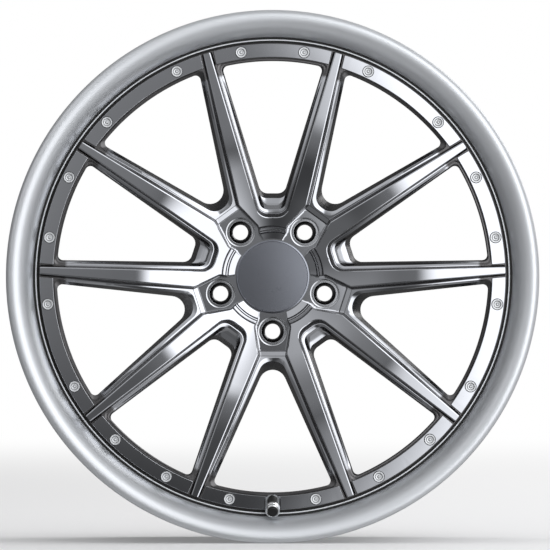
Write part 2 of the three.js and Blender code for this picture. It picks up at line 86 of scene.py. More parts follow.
# hub
HUB_EDGE_R = 52.6
CAP_RECESS_R = 38.2
CAP_SEAT_Y = -68.7
HUB_BORE_R = 33.3
PAD_Y = -38
PAD_R = 78
LUG_CIRCLE_R = 56
LUG_FLOOR_Y = -62
SEAT_HOLE_R = 15.5
STUD_HOLE_R = 7.95
SEAT_REAR_Y = -50
LEDGE_DEPTH = 8.5

# the spoke faces' dish: a cone near the hub, running out flat
DISH_SLOPE = 0.231
DISH_CONE_R = 81
DISH_FLAT_R = 172
DISH_POWER = 1.5  # how the slope dies away between the two
SPOKE_Y = -97


def face_y(r):
    """Height of the spoke faces at a radius."""
    run = DISH_FLAT_R - DISH_CONE_R
    left = np.clip((DISH_FLAT_R - r) / run, 0, 1)
    curved = run * left ** (DISH_POWER + 1) / (DISH_POWER + 1)
    return SPOKE_Y + DISH_SLOPE * (curved + np.maximum(DISH_CONE_R - r, 0))


def ledge_y(r):
    return face_y(r) + LEDGE_DEPTH


REAR_RADII = (84.2, 98, 150, 205, 218, 240)
REAR_LEVELS = (-43.5, -51, -67, -81, BAND_REAR_Y, BAND_REAR_Y)


def back_y(r):
    """Height of the spokes' rear at a radius."""
    return np.interp(r, REAR_RADII, REAR_LEVELS)


# ---------- plan geometry ----------
def on_lug_side(w, v):
    """A point w to the side of the lug axis and v along it."""
    return complex(-w, v) * cmath.exp(-1j * HALF)


LUG_AXIS = on_lug_side(0, 1)


def along_line(slope, apex, v):
    """The point at v on the line of that slope through the axis at apex."""
    return complex(slope * (v - apex), v)


def line_at_radius(slope, apex, r):
    """Where the line meets a circle round the hub."""
    a = 1 + slope * slope
    v = (slope * slope * apex + math.sqrt(a * r * r - slope * slope * apex * apex)) / a
    return along_line(slope, apex, v)


def from_lug(point):
    """A point given as w + 1j * v about the lug axis, in the V axis's frame."""
    return on_lug_side(point.real, point.imag)


def fillet(here, back, ahead, radius, cuts=None, room=math.inf):
    """An arc round a corner between the directions back and ahead, smaller where there is no room for it."""
    half = abs(cmath.phase(ahead / back)) / 2
    reach = min(radius / math.tan(half), room)
    centre = here + (back + ahead) / abs(back + ahead) * reach / math.cos(half)
    start, end = here + back * reach - centre, here + ahead * reach - centre
    sweep = cmath.phase(end / start)
    cuts = cuts or max(2, round(abs(sweep) / math.radians(22)))
    return [centre + start * cmath.exp(1j * sweep * k / cuts) for k in range(cuts + 1)]


def outline(corners, cuts):
    """An open outline through (point, radius) corners. A stretch with negative cuts follows a hub circle."""

    def leaving(i, j, round_hub):
        here, there = corners[i][0], corners[j][0]
        if not round_hub:
            return (there - here) / abs(there - here)
        tangent = 1j * here / abs(here)
        return tangent if ((there - here) * tangent.conjugate()).real > 0 else -tangent

    points = [corners[0][0]]
    for i in range(1, len(corners)):
        here, radius = corners[i]
        arc = []
        if radius and i < len(corners) - 1:
            back = leaving(i, i - 1, cuts[i - 1] < 0)
            ahead = leaving(i, i + 1, cuts[i] < 0)
            arc = fillet(here, back, ahead, radius, ARC_STEPS)
        stop = arc[0] if arc else here
        begin = points[-1]
        steps = abs(cuts[i - 1])
        for k in range(1, steps + 1):
            t = k / steps
            if cuts[i - 1] < 0:
                r = abs(begin) + (abs(stop) - abs(begin)) * t
                turn = cmath.phase(stop / begin)
                points.append(begin / abs(begin) * r * cmath.exp(1j * turn * t))
            else:
                points.append(begin + (stop - begin) * t)
        points[-1] = stop
        points.extend(arc[1:])
    return np.array(points)


def towards(a, b, distance):
    """Points moved from outline a towards its matching outline b, and at most nearly half way."""
    gap = b - a
    length = np.maximum(np.abs(gap), 1e-9)
    return a + gap / length * np.minimum(distance, length * 0.45)


def on_circle(r, start, end, steps, centre=0):
    """Points round a circle, from angle to angle clockwise from the V axis."""
    angles = np.linspace(start, end, steps + 1)
    return centre + r * (np.sin(angles) + 1j * np.cos(angles))


def on_ring(ring, r):
    """The points of a ring moved in or out to a radius."""
    return ring * r / np.abs(ring)


def level(y):
    """A height that is the same everywhere."""
    return lambda plan: np.full(len(plan), float(y))


def inside(points, loops):
    """Which points lie inside an odd number of the loops."""
    x, y = points.real[:, None], points.imag[:, None]
    odd = np.zeros(len(points), bool)
    for loop in loops:
        a, b = loop, np.roll(loop, -1)
        crosses = (a.imag > y) != (b.imag > y)
        rise = np.where(b.imag == a.imag, 1, b.imag - a.imag)
        at = (b.real - a.real) * (y - a.imag) / rise + a.real
        odd ^= (crosses & (x < at)).sum(1) % 2 == 1
    return odd


class Shell:
    """Vertices and faces of a surface, gathered region by region."""

    def __init__(self):
        self.points = []
        self.faces = []

    def add(self, plan, heights):
        first = len(self.points)
        heights = np.broadcast_to(heights, np.shape(plan))
        self.points.extend((p.real, float(y), p.imag) for p, y in zip(plan, heights))
        return list(range(first, len(self.points)))

    def strip(self, rows, closed=False):
        """Quads between matched rows of (plan, heights)."""
        ids = [self.add(plan, heights) for plan, heights in rows]
        for low, high in zip(ids, ids[1:]):
            ends = len(low) if closed else len(low) - 1
            for k in range(ends):
                n = (k + 1) % len(low)
                self.faces.append((low[k], low[n], high[n], high[k]))
        return ids

    def fill(self, loops, height, spacing=0.0, rings=()):
        """Triangles inside closed loops, with extra points on rings round the hub."""
        loops = [np.asarray(loop) for loop in loops]
        edge = np.concatenate(loops)
        extra = []
        for r in rings:
            count = max(2, int(r * HALF / spacing))
            extra.extend(on_circle(r, 0, HALF, count)[1:-1])
        if extra:
            extra = np.array(extra)
            extra = extra[inside(extra, loops)]
        if len(extra):
            clear = np.min(np.abs(extra[:, None] - edge[None, :]), axis=1) > spacing * 0.45
            extra = extra[clear]
        plan = np.concatenate([edge, extra]) if len(extra) else edge
        polygons = []
        start = 0
        for loop in loops:
            ids = list(range(start, start + len(loop)))
            area = (np.conj(loop) * np.roll(loop, -1)).imag.sum()
            polygons.append(ids if area > 0 else ids[::-1])
            start += len(loop)
        flat = [Vector((p.real, p.imag)) for p in plan]
        out, _, triangles, _, _, owners = delaunay_2d_cdt(flat, [], polygons, 0, 1e-5)
        plan = np.array([complex(*v) for v in out])
        ids = self.add(plan, height(plan))
        for triangle, owner in zip(triangles, owners):
            if len(owner) % 2 == 1:
                self.faces.append(tuple(ids[k] for k in triangle))


def placed_object(name, data):
    """A new object in the scene, of a mesh, a light or a camera."""
    made = bpy.data.objects.new(name, data)
    bpy.context.scene.collection.objects.link(made)
    return made


def evaluated_mesh(piece):
    """A piece's mesh with its modifiers applied."""
    graph = bpy.context.evaluated_depsgraph_get()
    graph.update()
    return bpy.data.meshes.new_from_object(piece.evaluated_get(graph))


def make_mesh(name, points, faces, merge=2e-6):
    """A mesh object with its doubles merged and its faces pointing out. Points are in millimetres."""
    mesh = bpy.data.meshes.new(name)
    mesh.from_pydata([(x * MM, y * MM, z * MM) for x, y, z in points], [], faces)
    work = bmesh.new()
    work.from_mesh(mesh)
    bmesh.ops.remove_doubles(work, verts=work.verts, dist=merge)
    bmesh.ops.dissolve_degenerate(work, dist=1e-7, edges=work.edges)
    loose = [v for v in work.verts if not v.link_faces]
    bmesh.ops.delete(work, geom=loose, context="VERTS")
    bmesh.ops.recalc_face_normals(work, faces=work.faces)
    work.to_mesh(mesh)
    work.free()
    return placed_object(name, mesh)


def smooth(piece, degrees=32):
    """Smooth shading with sharp edges kept, and flat faces kept flat beside their fillets."""
    piece.data.shade_smooth()
    piece.data.set_sharp_from_angle(angle=math.radians(degrees))
    weighted = piece.modifiers.new("flat_faces", "WEIGHTED_NORMAL")
    weighted.keep_sharp = True
    weighted.weight = 90


def read(items, name, width, kind=np.float32):
    """One attribute of all of a mesh's items, a row for each."""
    values = np.empty(len(items) * width, kind)
    items.foreach_get(name, values)
    return values.reshape(-1, width)


def dish_normals(piece, offsets):
    """Bakes the weighted normals. Faces on the dish, or below it by an offset, get the dish's own normals,
    and the pads' flat tops get theirs."""
    along = math.cos(math.radians(4))  # a face's normal has to lie this near to be set
    mesh = evaluated_mesh(piece)
    piece.modifiers.clear()
    piece.data = mesh
    normals = read(mesh.corner_normals, "vector", 3)
    corner = read(mesh.loops, "vertex_index", 1, np.int32)[:, 0]
    points = read(mesh.vertices, "co", 3)[corner] / MM
    sizes = read(mesh.polygons, "loop_total", 1, np.int32)[:, 0]
    flat = np.repeat(read(mesh.polygons, "normal", 3), sizes, axis=0)
    r = np.hypot(points[:, 0], points[:, 2])
    left = np.clip((DISH_FLAT_R - r) / (DISH_FLAT_R - DISH_CONE_R), 0, 1)
    slope = DISH_SLOPE * left**DISH_POWER
    true = np.stack([-slope * points[:, 0] / r, -np.ones(len(r)), -slope * points[:, 2] / r], axis=1)
    true /= np.linalg.norm(true, axis=1)[:, None]
    near = np.min([np.abs(points[:, 1] - face_y(r) - offset) for offset in offsets], axis=0) < 0.3
    lies = near & ((flat * true).sum(axis=1) > along)
    normals[lies] = true[lies]
    on_pad = (np.abs(points[:, 1] - BAND_Y) < 0.02) & (flat[:, 1] < -along)
    normals[on_pad] = (0, -1, 0)
    mesh.normals_split_custom_set([tuple(n) for n in normals.tolist()])


def edge_rows(top, below, heights, radius=0.6, bevel=0.0, tilt=20):
    """Rows that round a top edge towards the outline below it, after a bevel where one is given."""
    rows = [(top, heights)]
    drop, start = 0.0, 0.0
    if np.any(bevel):
        start = math.radians(tilt)
        drop = bevel * math.tan(start)
        rows.append((towards(top, below, bevel), heights + drop))
    for degrees in (45, 70):
        a = math.radians(degrees)
        out = bevel + radius * (math.sin(a) - math.sin(start))
        down = drop + radius * (math.cos(start) - math.cos(a))
        rows.append((towards(top, below, out), heights + down))
    return rows


def foot_rows(bottom, above, heights, radius=0.8):
    """Rows that round the foot of a wall into the floor it stands on."""
    rows = [
        (towards(bottom, above, radius * 0.95), heights - radius * 0.7),
        (towards(bottom, above, radius * 0.58), heights - radius * 0.17),
    ]
    return rows + [(bottom, heights)]


# ---------- the centre: one half sector, from a V axis to a lug axis ----------
V_FACE = (0.298, 11.2)  # slope and apex of the side lines, about the V axis
V_FOOT = (0.296, 21.3)
V_CREST = (0.296, 22.7)
V_LEDGE = (0.300, 30.6)
V_MID_UPPER = (0.303, 36.2)
V_MID_LOWER = (0.306, 40.9)
V_WINDOW = (0.309, 46.9)
LUG_FACE = (0.4207, 41.5)  # about the lug axis
LUG_CREST = (0.427, 56.2)
LUG_LEDGE = (0.442, 64.6)
LUG_WINDOW = (0.449, 75.2)
LINE_CUTS = 44
TIP_CUTS = 5
HUB_CUTS = 9  # of each terrace
FINE_CUTS = 60
FACE_SPACING = 2.6  # between the points on the spoke faces
POCKET_SPACING = 2.5
REAR_SPACING = 5
PAD_CORNER_R = 0.6
BORE_CHAMFER = 0.6
PAD_CHAMFER = 0.8
BEND_V = 157
NOSE_V = 78.8
CORNER_CUTS = (4, LINE_CUTS, -TIP_CUTS, 16, 24, 1, 1, 1, 8, 3, 4)
ROWS_V = (81.6, 80.8, 76.6, 75.3)  # steps of the lug pocket's outer end, along the lug axis
POCKET_LEVELS = (-76.0, -74.6, LUG_FLOOR_Y)  # of the last three of them
POCKET_CORNER = (14.2, math.sqrt(CAP_RECESS_R**2 - 14.2**2))  # where the pocket's side meets the cap


def spoke_top():
    """The face's edge: from the V axis round the spoke to the lug pocket's nose, and down its side."""
    corners = [
        (59.8j, 0),
        (along_line(*V_FACE, 59.8), 13.2),
        (line_at_radius(*V_FACE, PAD_OUTER_R), 0.8),
        (from_lug(line_at_radius(*LUG_FACE, PAD_OUTER_R)), 0.8),
        (from_lug(along_line(*LUG_FACE, BEND_V)), 0),
        (from_lug(along_line(*LUG_FACE, NOSE_V)), 2.5),
        (on_lug_side(15.85, 78.0), 0),
        (on_lug_side(16.15, 75.6), 0),
        (on_lug_side(16.3, 74.4), 0),
        (on_lug_side(19.5, 50.4), 6),
        (on_lug_side(15.7, 43.9), 4),
        (on_lug_side(*POCKET_CORNER), 0),
    ]
    return outline(corners, CORNER_CUTS)


def spoke_foot():
    """The foot of the wall below spoke_top, point for point."""
    foot_r = PAD_OUTER_R + 0.45
    corners = [
        (65.2j, 0),
        (along_line(*V_FOOT, 65.2), 10.5),
        (line_at_radius(*V_FOOT, foot_r), 0.5),
        (on_lug_side(74.4, math.sqrt(foot_r**2 - 74.4**2)), 0.5),
        (on_lug_side(43.6, BEND_V), 0),
        (on_lug_side(12.4, ROWS_V[0]), 1.0),
        (on_lug_side(12.5, ROWS_V[1]), 0),
        (on_lug_side(13.0, ROWS_V[2]), 0),
        (on_lug_side(13.2, ROWS_V[3]), 0),
        (on_lug_side(17.2, 50.8), 5),
        (on_lug_side(14.4, 44.8), 4),
        (on_lug_side(*POCKET_CORNER), 0),
    ]
    return outline(corners, CORNER_CUTS)


def counts(cuts, rounded):
    """Index of each corner's last point in an outline with those cuts."""
    total, ends = 0, []
    for cut, is_round in zip(cuts, rounded):
        total += abs(cut) + (ARC_STEPS if is_round else 0)
        ends.append(total)
    return ends


ENDS = counts(CORNER_CUTS, (1, 1, 1, 0, 1, 0, 0, 0, 1, 1, 0))
NOSE_END, ROW_1, ROW_2, ROW_3 = ENDS[4:8]

# from the spoke faces' inner edge down to the cap: radius and height of each break
TERRACES = (
    (HUB_EDGE_R, -82.05), (52.2, -81.9), (51.95, -81.5), (50.9, -78.9), (50.55, -78.6),
    (48.6, -78.5), (48.25, -78.35), (47.35, -77.2), (47.0, -77.05), (46.3, -77.0),
    (46.0, -76.75), (45.0, -74.7), (44.6, -74.5), (43.9, -74.3), (39.0, -72.7), (38.45, -72.4),
    (CAP_RECESS_R, -72.1),
)


def lug_v(points):
    """Distance of points along the lug axis."""
    return (points * np.conj(LUG_AXIS)).real


def refined(points):
    """A line's points with FINE_CUTS cuts between each two."""
    cuts = [np.linspace(a, b, FINE_CUTS, endpoint=False) for a, b in zip(points, points[1:])]
    return np.concatenate(cuts + [points[-1:]])


def window(line, bottom, radius, outer_r, outer_radius, about_lug=False):
    """Half a window's outline from its inner end outwards, about the V axis or the lug axis."""
    corners = [
        (bottom * 1j, 0),
        (along_line(*line, bottom), radius),
        (line_at_radius(*line, outer_r), outer_radius),
        (outer_r * 1j, 0),
    ]
    if not about_lug:
        return outline(corners, (4, LINE_CUTS, -16))
    return np.array([from_lug(p) for p in outline(corners, (1, LINE_CUTS, -20))])


def drop(shell, contours, shares, rear, slope_drop):
    """A window's wall: from the ledge's crest down its slope, through matched contours that each lie at a
    share of the spoke's depth, and out at the rear."""
    crest, first = contours[0]
    rows = [(crest, ledge_y(np.abs(crest)))]
    rows += edge_rows(first, contours[1], ledge_y(np.abs(first)) + slope_drop, 0.5)
    for contour, share in zip(contours[1:], shares):
        ledge, back = ledge_y(np.abs(contour)), back_y(np.abs(contour))
        rows.append((contour, ledge + (back - ledge) * share))
    last = contours[-1]
    rows.append((last, back_y(np.abs(last)) - 1.2))
    rows.append((towards(last, rear, 0.35), back_y(np.abs(rear)) - 0.35))
    rows.append((rear, back_y(np.abs(rear))))
    shell.strip(rows)


def pad(grow, about_lug):
    """The outline of half a pad round the assembly bolts, grown a little."""
    if about_lug:
        ends = (complex(67.7, 213.9), complex(72.7, 225.8))
    else:
        ends = (complex(57.0, 217.1), complex(60.0, 229.8))
    inner_r, outer_r = PAD_INNER_R - grow, PAD_OUTER_R + grow
    inner = (ends[0] + grow) / abs(ends[0] + grow) * inner_r
    outer = (ends[1] + grow) / abs(ends[1] + grow) * outer_r
    corners = [(inner_r * 1j, 0), (inner, PAD_CORNER_R), (outer, PAD_CORNER_R), (outer_r * 1j, 0)]
    points = outline(corners, (-16, 3, -16))
    return np.array([from_lug(p) for p in points]) if about_lug else points


def bolt_hole(angle):
    centre = on_circle(BOLT_CIRCLE_R, angle, angle, 0)[0]
    return on_circle(BOLT_HOLE_R, 0, 2 * math.pi, 20, centre)[:-1]


def half_sector():
    """The centre's surface between a V axis and a lug axis, front and rear."""
    shell = Shell()
    top = spoke_top()
    foot = spoke_foot()

    # split the pocket's side where the terraces begin, and put a point on it at each terrace's break
    fine = refined(top[ROW_3:])
    fine_foot = refined(foot[ROW_3:])

    def at_radius(r):
        return int(np.argmin(np.abs(np.abs(fine) - r)))

    upper = list(range(FINE_CUTS, at_radius(HUB_EDGE_R) - FINE_CUTS // 3, FINE_CUTS))
    breaks = [at_radius(r) for r, _ in TERRACES]
    breaks[-1] = len(fine) - 1
    picks = upper + breaks
    top = np.concatenate([top[: ROW_3 + 1], fine[picks]])
    foot = np.concatenate([foot[: ROW_3 + 1], fine_foot[picks]])
    edge_index = ROW_3 + 1 + len(upper)

    top_y = face_y(np.abs(top))
    top_y[edge_index:] = [y for _, y in TERRACES]
    foot_y = ledge_y(np.abs(foot))
    rows_v = [lug_v(foot[k]) for k in (NOSE_END, ROW_1, ROW_2, ROW_3)]
    levels = [foot_y[NOSE_END], *POCKET_LEVELS]
    pocket = np.arange(len(foot)) > NOSE_END
    foot_y[pocket] = np.interp(lug_v(foot[pocket]), rows_v[::-1], levels[::-1], left=LUG_FLOOR_Y)

    # the spoke's face
    inner_arc = on_circle(HUB_EDGE_R, 0, cmath.phase(1j / top[edge_index]), HUB_CUTS)
    top[edge_index] = inner_arc[-1]
    loop = np.concatenate([top[: edge_index + 1], inner_arc[-2:0:-1], [inner_arc[0]]])
    dish_rings = np.arange(HUB_EDGE_R + FACE_SPACING, DISH_FLAT_R, FACE_SPACING)
    rings = [*dish_rings, *np.arange(DISH_FLAT_R, PAD_OUTER_R, 6)]
    shell.fill([loop], lambda p: face_y(np.abs(p)), FACE_SPACING, rings)

    # terraces down to the cap, between the pockets
    arcs = []
    for k, (r, y) in enumerate(TERRACES):
        arc = on_circle(r, 0, cmath.phase(1j / top[edge_index + k]), HUB_CUTS)
        arc[-1] = top[edge_index + k]
        arcs.append((arc, y))
    shell.strip(arcs)

    # the wall round the face, with its rounded edge and foot, and a narrow bevel round the lug pocket
    bevels = np.where(np.arange(len(top)) > NOSE_END + 3, 0.1, 0.85)
    rows = edge_rows(top, foot, top_y, 0.5, bevels, 18)
    feet = foot_rows(foot, top, foot_y)
    seat_share = (CAP_SEAT_Y - top_y[-1]) / (LUG_FLOOR_Y - top_y[-1])
    upper_row, lower_row = rows[-1], feet[0]
    seat_row = len(rows)
    for share in (seat_share, 0.62):
        plan = upper_row[0] + (lower_row[0] - upper_row[0]) * share
        height = upper_row[1] + (lower_row[1] - upper_row[1]) * share
        rows.append((plan, height))
    rows += feet
    rows = [(plan, np.array(height)) for plan, height in rows]
    for plan, _ in rows:
        plan[-1] = top[-1]
    rows[seat_row][1][-1] = CAP_SEAT_Y
    ids = shell.strip(rows)

    # the cap's seat ring: its wall stands inside the boss, and outside the seat in the pockets
    boss_arc = arcs[-1][0]
    turn = cmath.phase(1j / top[-1])
    pocket_arc = on_circle(CAP_RECESS_R, turn, HALF, 8)
    pocket_arc[0] = top[-1]
    high = shell.add(boss_arc, TERRACES[-1][1])
    low = shell.add(boss_arc, CAP_SEAT_Y)
    for k in range(len(high) - 2):
        shell.faces.append((high[k], high[k + 1], low[k + 1], low[k]))
    column = [ids[k][-1] for k in range(seat_row + 1)]
    shell.faces.append((high[-2], *column, low[-2]))
    high = shell.add(pocket_arc, CAP_SEAT_Y)
    low = shell.add(pocket_arc, LUG_FLOOR_Y)
    for k in range(1, len(high) - 1):
        shell.faces.append((high[k], high[k + 1], low[k + 1], low[k]))
    column = [ids[k][-1] for k in range(seat_row, len(rows))]
    shell.faces.append((high[1], *column, low[1]))
    ring = np.concatenate([boss_arc, pocket_arc[1:]])
    bore = on_ring(ring, HUB_BORE_R + PAD_CHAMFER)
    shell.strip(
        [
            (ring, CAP_SEAT_Y),
            (on_ring(ring, HUB_BORE_R + BORE_CHAMFER), CAP_SEAT_Y),
            (on_ring(ring, HUB_BORE_R), CAP_SEAT_Y + BORE_CHAMFER),
            (on_ring(ring, HUB_BORE_R), PAD_Y - PAD_CHAMFER),
            (bore, PAD_Y),
        ]
    )

    # the lug pocket: steps at its outer end, and its floor round the seat
    across = 7
    grid = []
    for k, y in zip((NOSE_END, ROW_1, ROW_2, ROW_3), levels):
        row = np.linspace(foot[k], lug_v(foot[k]) * LUG_AXIS, across + 1)
        heights = ledge_y(np.abs(row)) if k == NOSE_END else np.full(across + 1, y)
        grid.append((row, heights))
    shell.strip(grid)
    lug = LUG_CIRCLE_R * LUG_AXIS
    seat_turn = on_circle(SEAT_HOLE_R, HALF, HALF - math.pi, 20, lug)
    stud_turn = lug + (seat_turn - lug) * STUD_HOLE_R / SEAT_HOLE_R
    loop = np.concatenate([grid[-1][0][::-1], foot[ROW_3 + 1 :], pocket_arc[1:], seat_turn[::-1]])
    pocket_rings = np.arange(40, 76, POCKET_SPACING)
    shell.fill([loop], level(LUG_FLOOR_Y), POCKET_SPACING, pocket_rings)
    step_y = SEAT_REAR_Y + 0.3
    shell.strip([(seat_turn, LUG_FLOOR_Y), (seat_turn, step_y)])
    shell.strip([(seat_turn, step_y), (stud_turn, step_y)])
    shell.strip([(stud_turn, step_y), (stud_turn, PAD_Y)])

    # windows
    v_crest = window(V_CREST, 65.8, 10.2, 223.7, 5)
    v_rear = window((V_WINDOW[0], V_WINDOW[1] - 3.6), 84.6, 9, WINDOW_R + 0.9, 6)
    v_levels = [
        (v_crest, window(V_LEDGE, 68.4, 8.6, 222.9, 5)),
        window(V_MID_UPPER, 75.2, 7.6, 221.4, 5),
        window(V_MID_LOWER, 80.4, 7, 221.0, 5),
        window(V_WINDOW, 85.4, 9.2, WINDOW_R, 5.1),
    ]
    drop(shell, v_levels, (0.2, 0.25, 0.62), v_rear, 0.8)
    lug_crest = window(LUG_CREST, 82.9, 11, 223.7, 5, True)
    lug_rear = window((LUG_WINDOW[0], LUG_WINDOW[1] - 2.6), 94.5, 14, WINDOW_R + 0.9, 6, True)
    lug_levels = [
        (lug_crest, window(LUG_LEDGE, 86.0, 13.1, 222.9, 5, True)),
        window(LUG_WINDOW, 95.3, 14.2, WINDOW_R, 5.1, True),
    ]
    drop(shell, lug_levels, (0.62,), lug_rear, 1.2)

    # pads round the assembly bolts
    pad_feet = []
    for about_lug, bolt_angle in ((False, BOLT_ANGLES[0]), (True, BOLT_ANGLES[1])):
        upper, lower = pad(0, about_lug), pad(0.5, about_lug)
        pad_feet.append(lower)
        edge = edge_rows(upper, lower, level(BAND_Y)(upper), 0.45)
        shell.strip(edge + [(lower, level(FLOOR_Y)(lower))])
        hole = bolt_hole(bolt_angle)
        shell.fill([upper, hole], level(BAND_Y))
        shell.strip([(hole, BAND_Y), (hole, BAND_REAR_Y)], closed=True)

    # ledges and the band's lower level
    rim = on_circle(BAND_R, HALF, 0, 48)
    seam = [foot[: NOSE_END + 1], grid[0][0][1:], lug_crest]
    loop = np.concatenate([*seam, pad_feet[1], rim, pad_feet[0][::-1], v_crest[::-1]])
    shell.fill([loop], lambda p: ledge_y(np.abs(p)))
    shell.strip([(rim, FLOOR_Y), (rim, BAND_REAR_Y)])

    # the rear: hub pad, its edge, then the spokes' and band's rear
    pad_arc = on_ring(ring, PAD_R)
    loop = np.concatenate([bore, stud_turn, pad_arc[::-1]])
    shell.fill([loop], level(PAD_Y))
    foot_arc = on_ring(ring, REAR_RADII[0])
    chamfer = (on_ring(ring, PAD_R + PAD_CHAMFER), PAD_Y - PAD_CHAMFER)
    shell.strip([(pad_arc, PAD_Y), chamfer, (foot_arc, REAR_LEVELS[0])])
    holes = [bolt_hole(angle) for angle in BOLT_ANGLES]
    loop = np.concatenate([foot_arc[::-1], v_rear, rim[::-1], lug_rear[::-1]])
    rear_rings = np.arange(90, 236, REAR_SPACING)
    shell.fill([loop, *holes], lambda p: back_y(np.abs(p)), REAR_SPACING, rear_rings)
    return shell


def centre_disc():
    """The whole centre: the half sector and its mirror image, five times round."""
    half = half_sector()
    points = np.array(half.points)
    plan = points[:, 0] + 1j * points[:, 2]
    every_point, every_face = [], []
    for pair in range(PAIRS):
        for mirrored in (False, True):
            side = -np.conj(plan) if mirrored else plan
            turned_plan = side * cmath.exp(-2j * HALF * pair)
            first = len(every_point)
            every_point.extend(zip(turned_plan.real, points[:, 1], turned_plan.imag))
            every_face.extend(tuple(first + k for k in face) for face in half.faces)
    return make_mesh("centre_disc_forged", every_point, every_face, merge=8e-6)


# ---------- turned and closed pieces ----------
def profile(corners):
    """Points of a section: (radius, y, rounding) corners, where a rounded corner becomes an arc."""
    points = []
    for i, (r, y, rounding) in enumerate(corners):
        here = complex(r, y)
        if not rounding:
            points.append((r, y))
            continue
        before, after = corners[i - 1], corners[(i + 1) % len(corners)]
        back = complex(before[0], before[1]) - here
        ahead = complex(after[0], after[1]) - here
        room = min(abs(back), abs(ahead)) * 0.49
        arc = fillet(here, back / abs(back), ahead / abs(ahead), rounding, room=room)
        points.extend((p.real, p.imag) for p in arc)
    return points


def closed_solid(name, rows, place=None, capped=False):
    """A solid through matched closed rows of (plan, heights), moved to its place."""
    shell = Shell()
    ids = shell.strip(rows, closed=True)
    if capped:
        shell.faces.extend((tuple(ids[0]), tuple(ids[-1])))
    points = [tuple(place @ Vector(p)) for p in shell.points] if place else shell.points
    return make_mesh(name, points, shell.faces)


def turned(name, section, steps=TURN_STEPS, place=None):
    """A solid of revolution about Y. A section that starts and ends on the axis closes there."""
    circle = on_circle(1, 0, 2 * math.pi, steps)[:-1]
    rows = [(circle * r, y) for r, y in section]
    on_axis = section[0][0] < ON_AXIS and section[-1][0] < ON_AXIS
    return closed_solid(name, rows if on_axis else rows + rows[:1], place)


def joined(name, pieces):
    """Several pieces as one object."""
    work = bmesh.new()
    for piece in pieces:
        work.from_mesh(piece.data)
        bpy.data.objects.remove(piece)
    mesh = bpy.data.meshes.new(name)
    work.to_mesh(mesh)
    work.free()
    return placed_object(name, mesh)


def carve(piece, cutter):
    """Cuts a piece by another, for good."""
    cut = piece.modifiers.new("cut", "BOOLEAN")
    cut.operation = "DIFFERENCE"
    cut.solver = "EXACT"
    cut.object = cutter
    mesh = evaluated_mesh(piece)
    piece.modifiers.remove(cut)
    piece.data = mesh
    bpy.data.objects.remove(cutter)


# ---------- materials ----------
class Sums:
    """Small sums of shader values in one node tree, written as calls."""

    def __init__(self, tree):
        self.nodes, self.links = tree.nodes, tree.links

    def put(self, socket, value):
        """Sets a socket to a number or a colour, or links it to an output."""
        if isinstance(value, bpy.types.NodeSocket):
            self.links.new(value, socket)
        else:
            socket.default_value = (*value, 1) if isinstance(value, tuple) else value

    def math(self, operation, *values):
        node = self.nodes.new("ShaderNodeMath")
        node.operation = operation
        for socket, value in zip(node.inputs, values):
            self.put(socket, value)
        return node.outputs[0]

    def plus(self, a, b):
        return self.math("ADD", a, b)

    def times(self, a, b):
        return self.math("MULTIPLY", a, b)

    def ramp(self, value, low, high, to_low=0.0, to_high=1.0, kind="SMOOTHSTEP"):
        """A value between low and high, mapped smoothly to what lies between to_low and to_high."""
        node = self.nodes.new("ShaderNodeMapRange")
        node.interpolation_type = kind
        names = ("Value", "From Min", "From Max", "To Min", "To Max")
        for name, number in zip(names, (value, low, high, to_low, to_high)):
            self.put(node.inputs[name], number)
        return node.outputs["Result"]

    def spread(self, noise, low, high):
        """Noise mapped to a range."""
        return self.ramp(noise, 0.3, 0.7, low, high, "LINEAR")

    def mix(self, factor, a, b):
        """A colour between two."""
        node = self.nodes.new("ShaderNodeMix")
        node.data_type = "RGBA"
        for name, value in (("Factor", factor), ("A", a), ("B", b)):
            self.put(node.inputs[name], value)
        return node.outputs["Result"]

    def parts(self, kind, output):
        """The X, Y and Z of an output of a new node of that kind."""
        split = self.nodes.new("ShaderNodeSeparateXYZ")
        self.put(split.inputs[0], self.nodes.new(kind).outputs[output])
        return split.outputs["X"], split.outputs["Y"], split.outputs["Z"]

    def position(self):
        return self.parts("ShaderNodeTexCoord", "Object")

    def facing(self):
        """How far a face looks to the wheel's rear, from -1 to 1."""
        return self.parts("ShaderNodeNewGeometry", "True Normal")[1]

    def radius(self, x, z):
        """Distance from the wheel's axis."""
        return self.math("SQRT", self.plus(self.times(x, x), self.times(z, z)))

    def grain(self, scale):
        """Fine noise in object space."""
        noise = self.nodes.new("ShaderNodeTexNoise")
        noise.inputs["Scale"].default_value = scale
        noise.inputs["Detail"].default_value = 3.0
        self.put(noise.inputs["Vector"], self.nodes.new("ShaderNodeTexCoord").outputs["Object"])
        return noise.outputs["Fac"]

    def lathe_lines(self, per_metre):
        """Noise that changes only along the wheel's axis and away from it, as turning marks do."""
        x, y, z = self.position()
        noise = self.nodes.new("ShaderNodeTexNoise")
        noise.noise_dimensions = "1D"
        noise.inputs["Scale"].default_value = per_metre
        noise.inputs["Detail"].default_value = 4.0
        self.put(noise.inputs["W"], self.plus(self.radius(x, z), y))
        return noise.outputs["Fac"]


def shader(name):
    """A new material, with its sums and its surface's inputs."""
    material = bpy.data.materials.new(name)
    material.use_nodes = True
    tree = material.node_tree
    return material, Sums(tree), tree.nodes["Principled BSDF"].inputs


def linear(srgb):
    """A colour given as its display value, 0 to 255, as linear light."""
    return tuple(((c / 255 + 0.055) / 1.055) ** 2.4 if c > 10 else c / 255 / 12.92 for c in srgb)


def grey(tone):
    return linear((tone,) * 3)


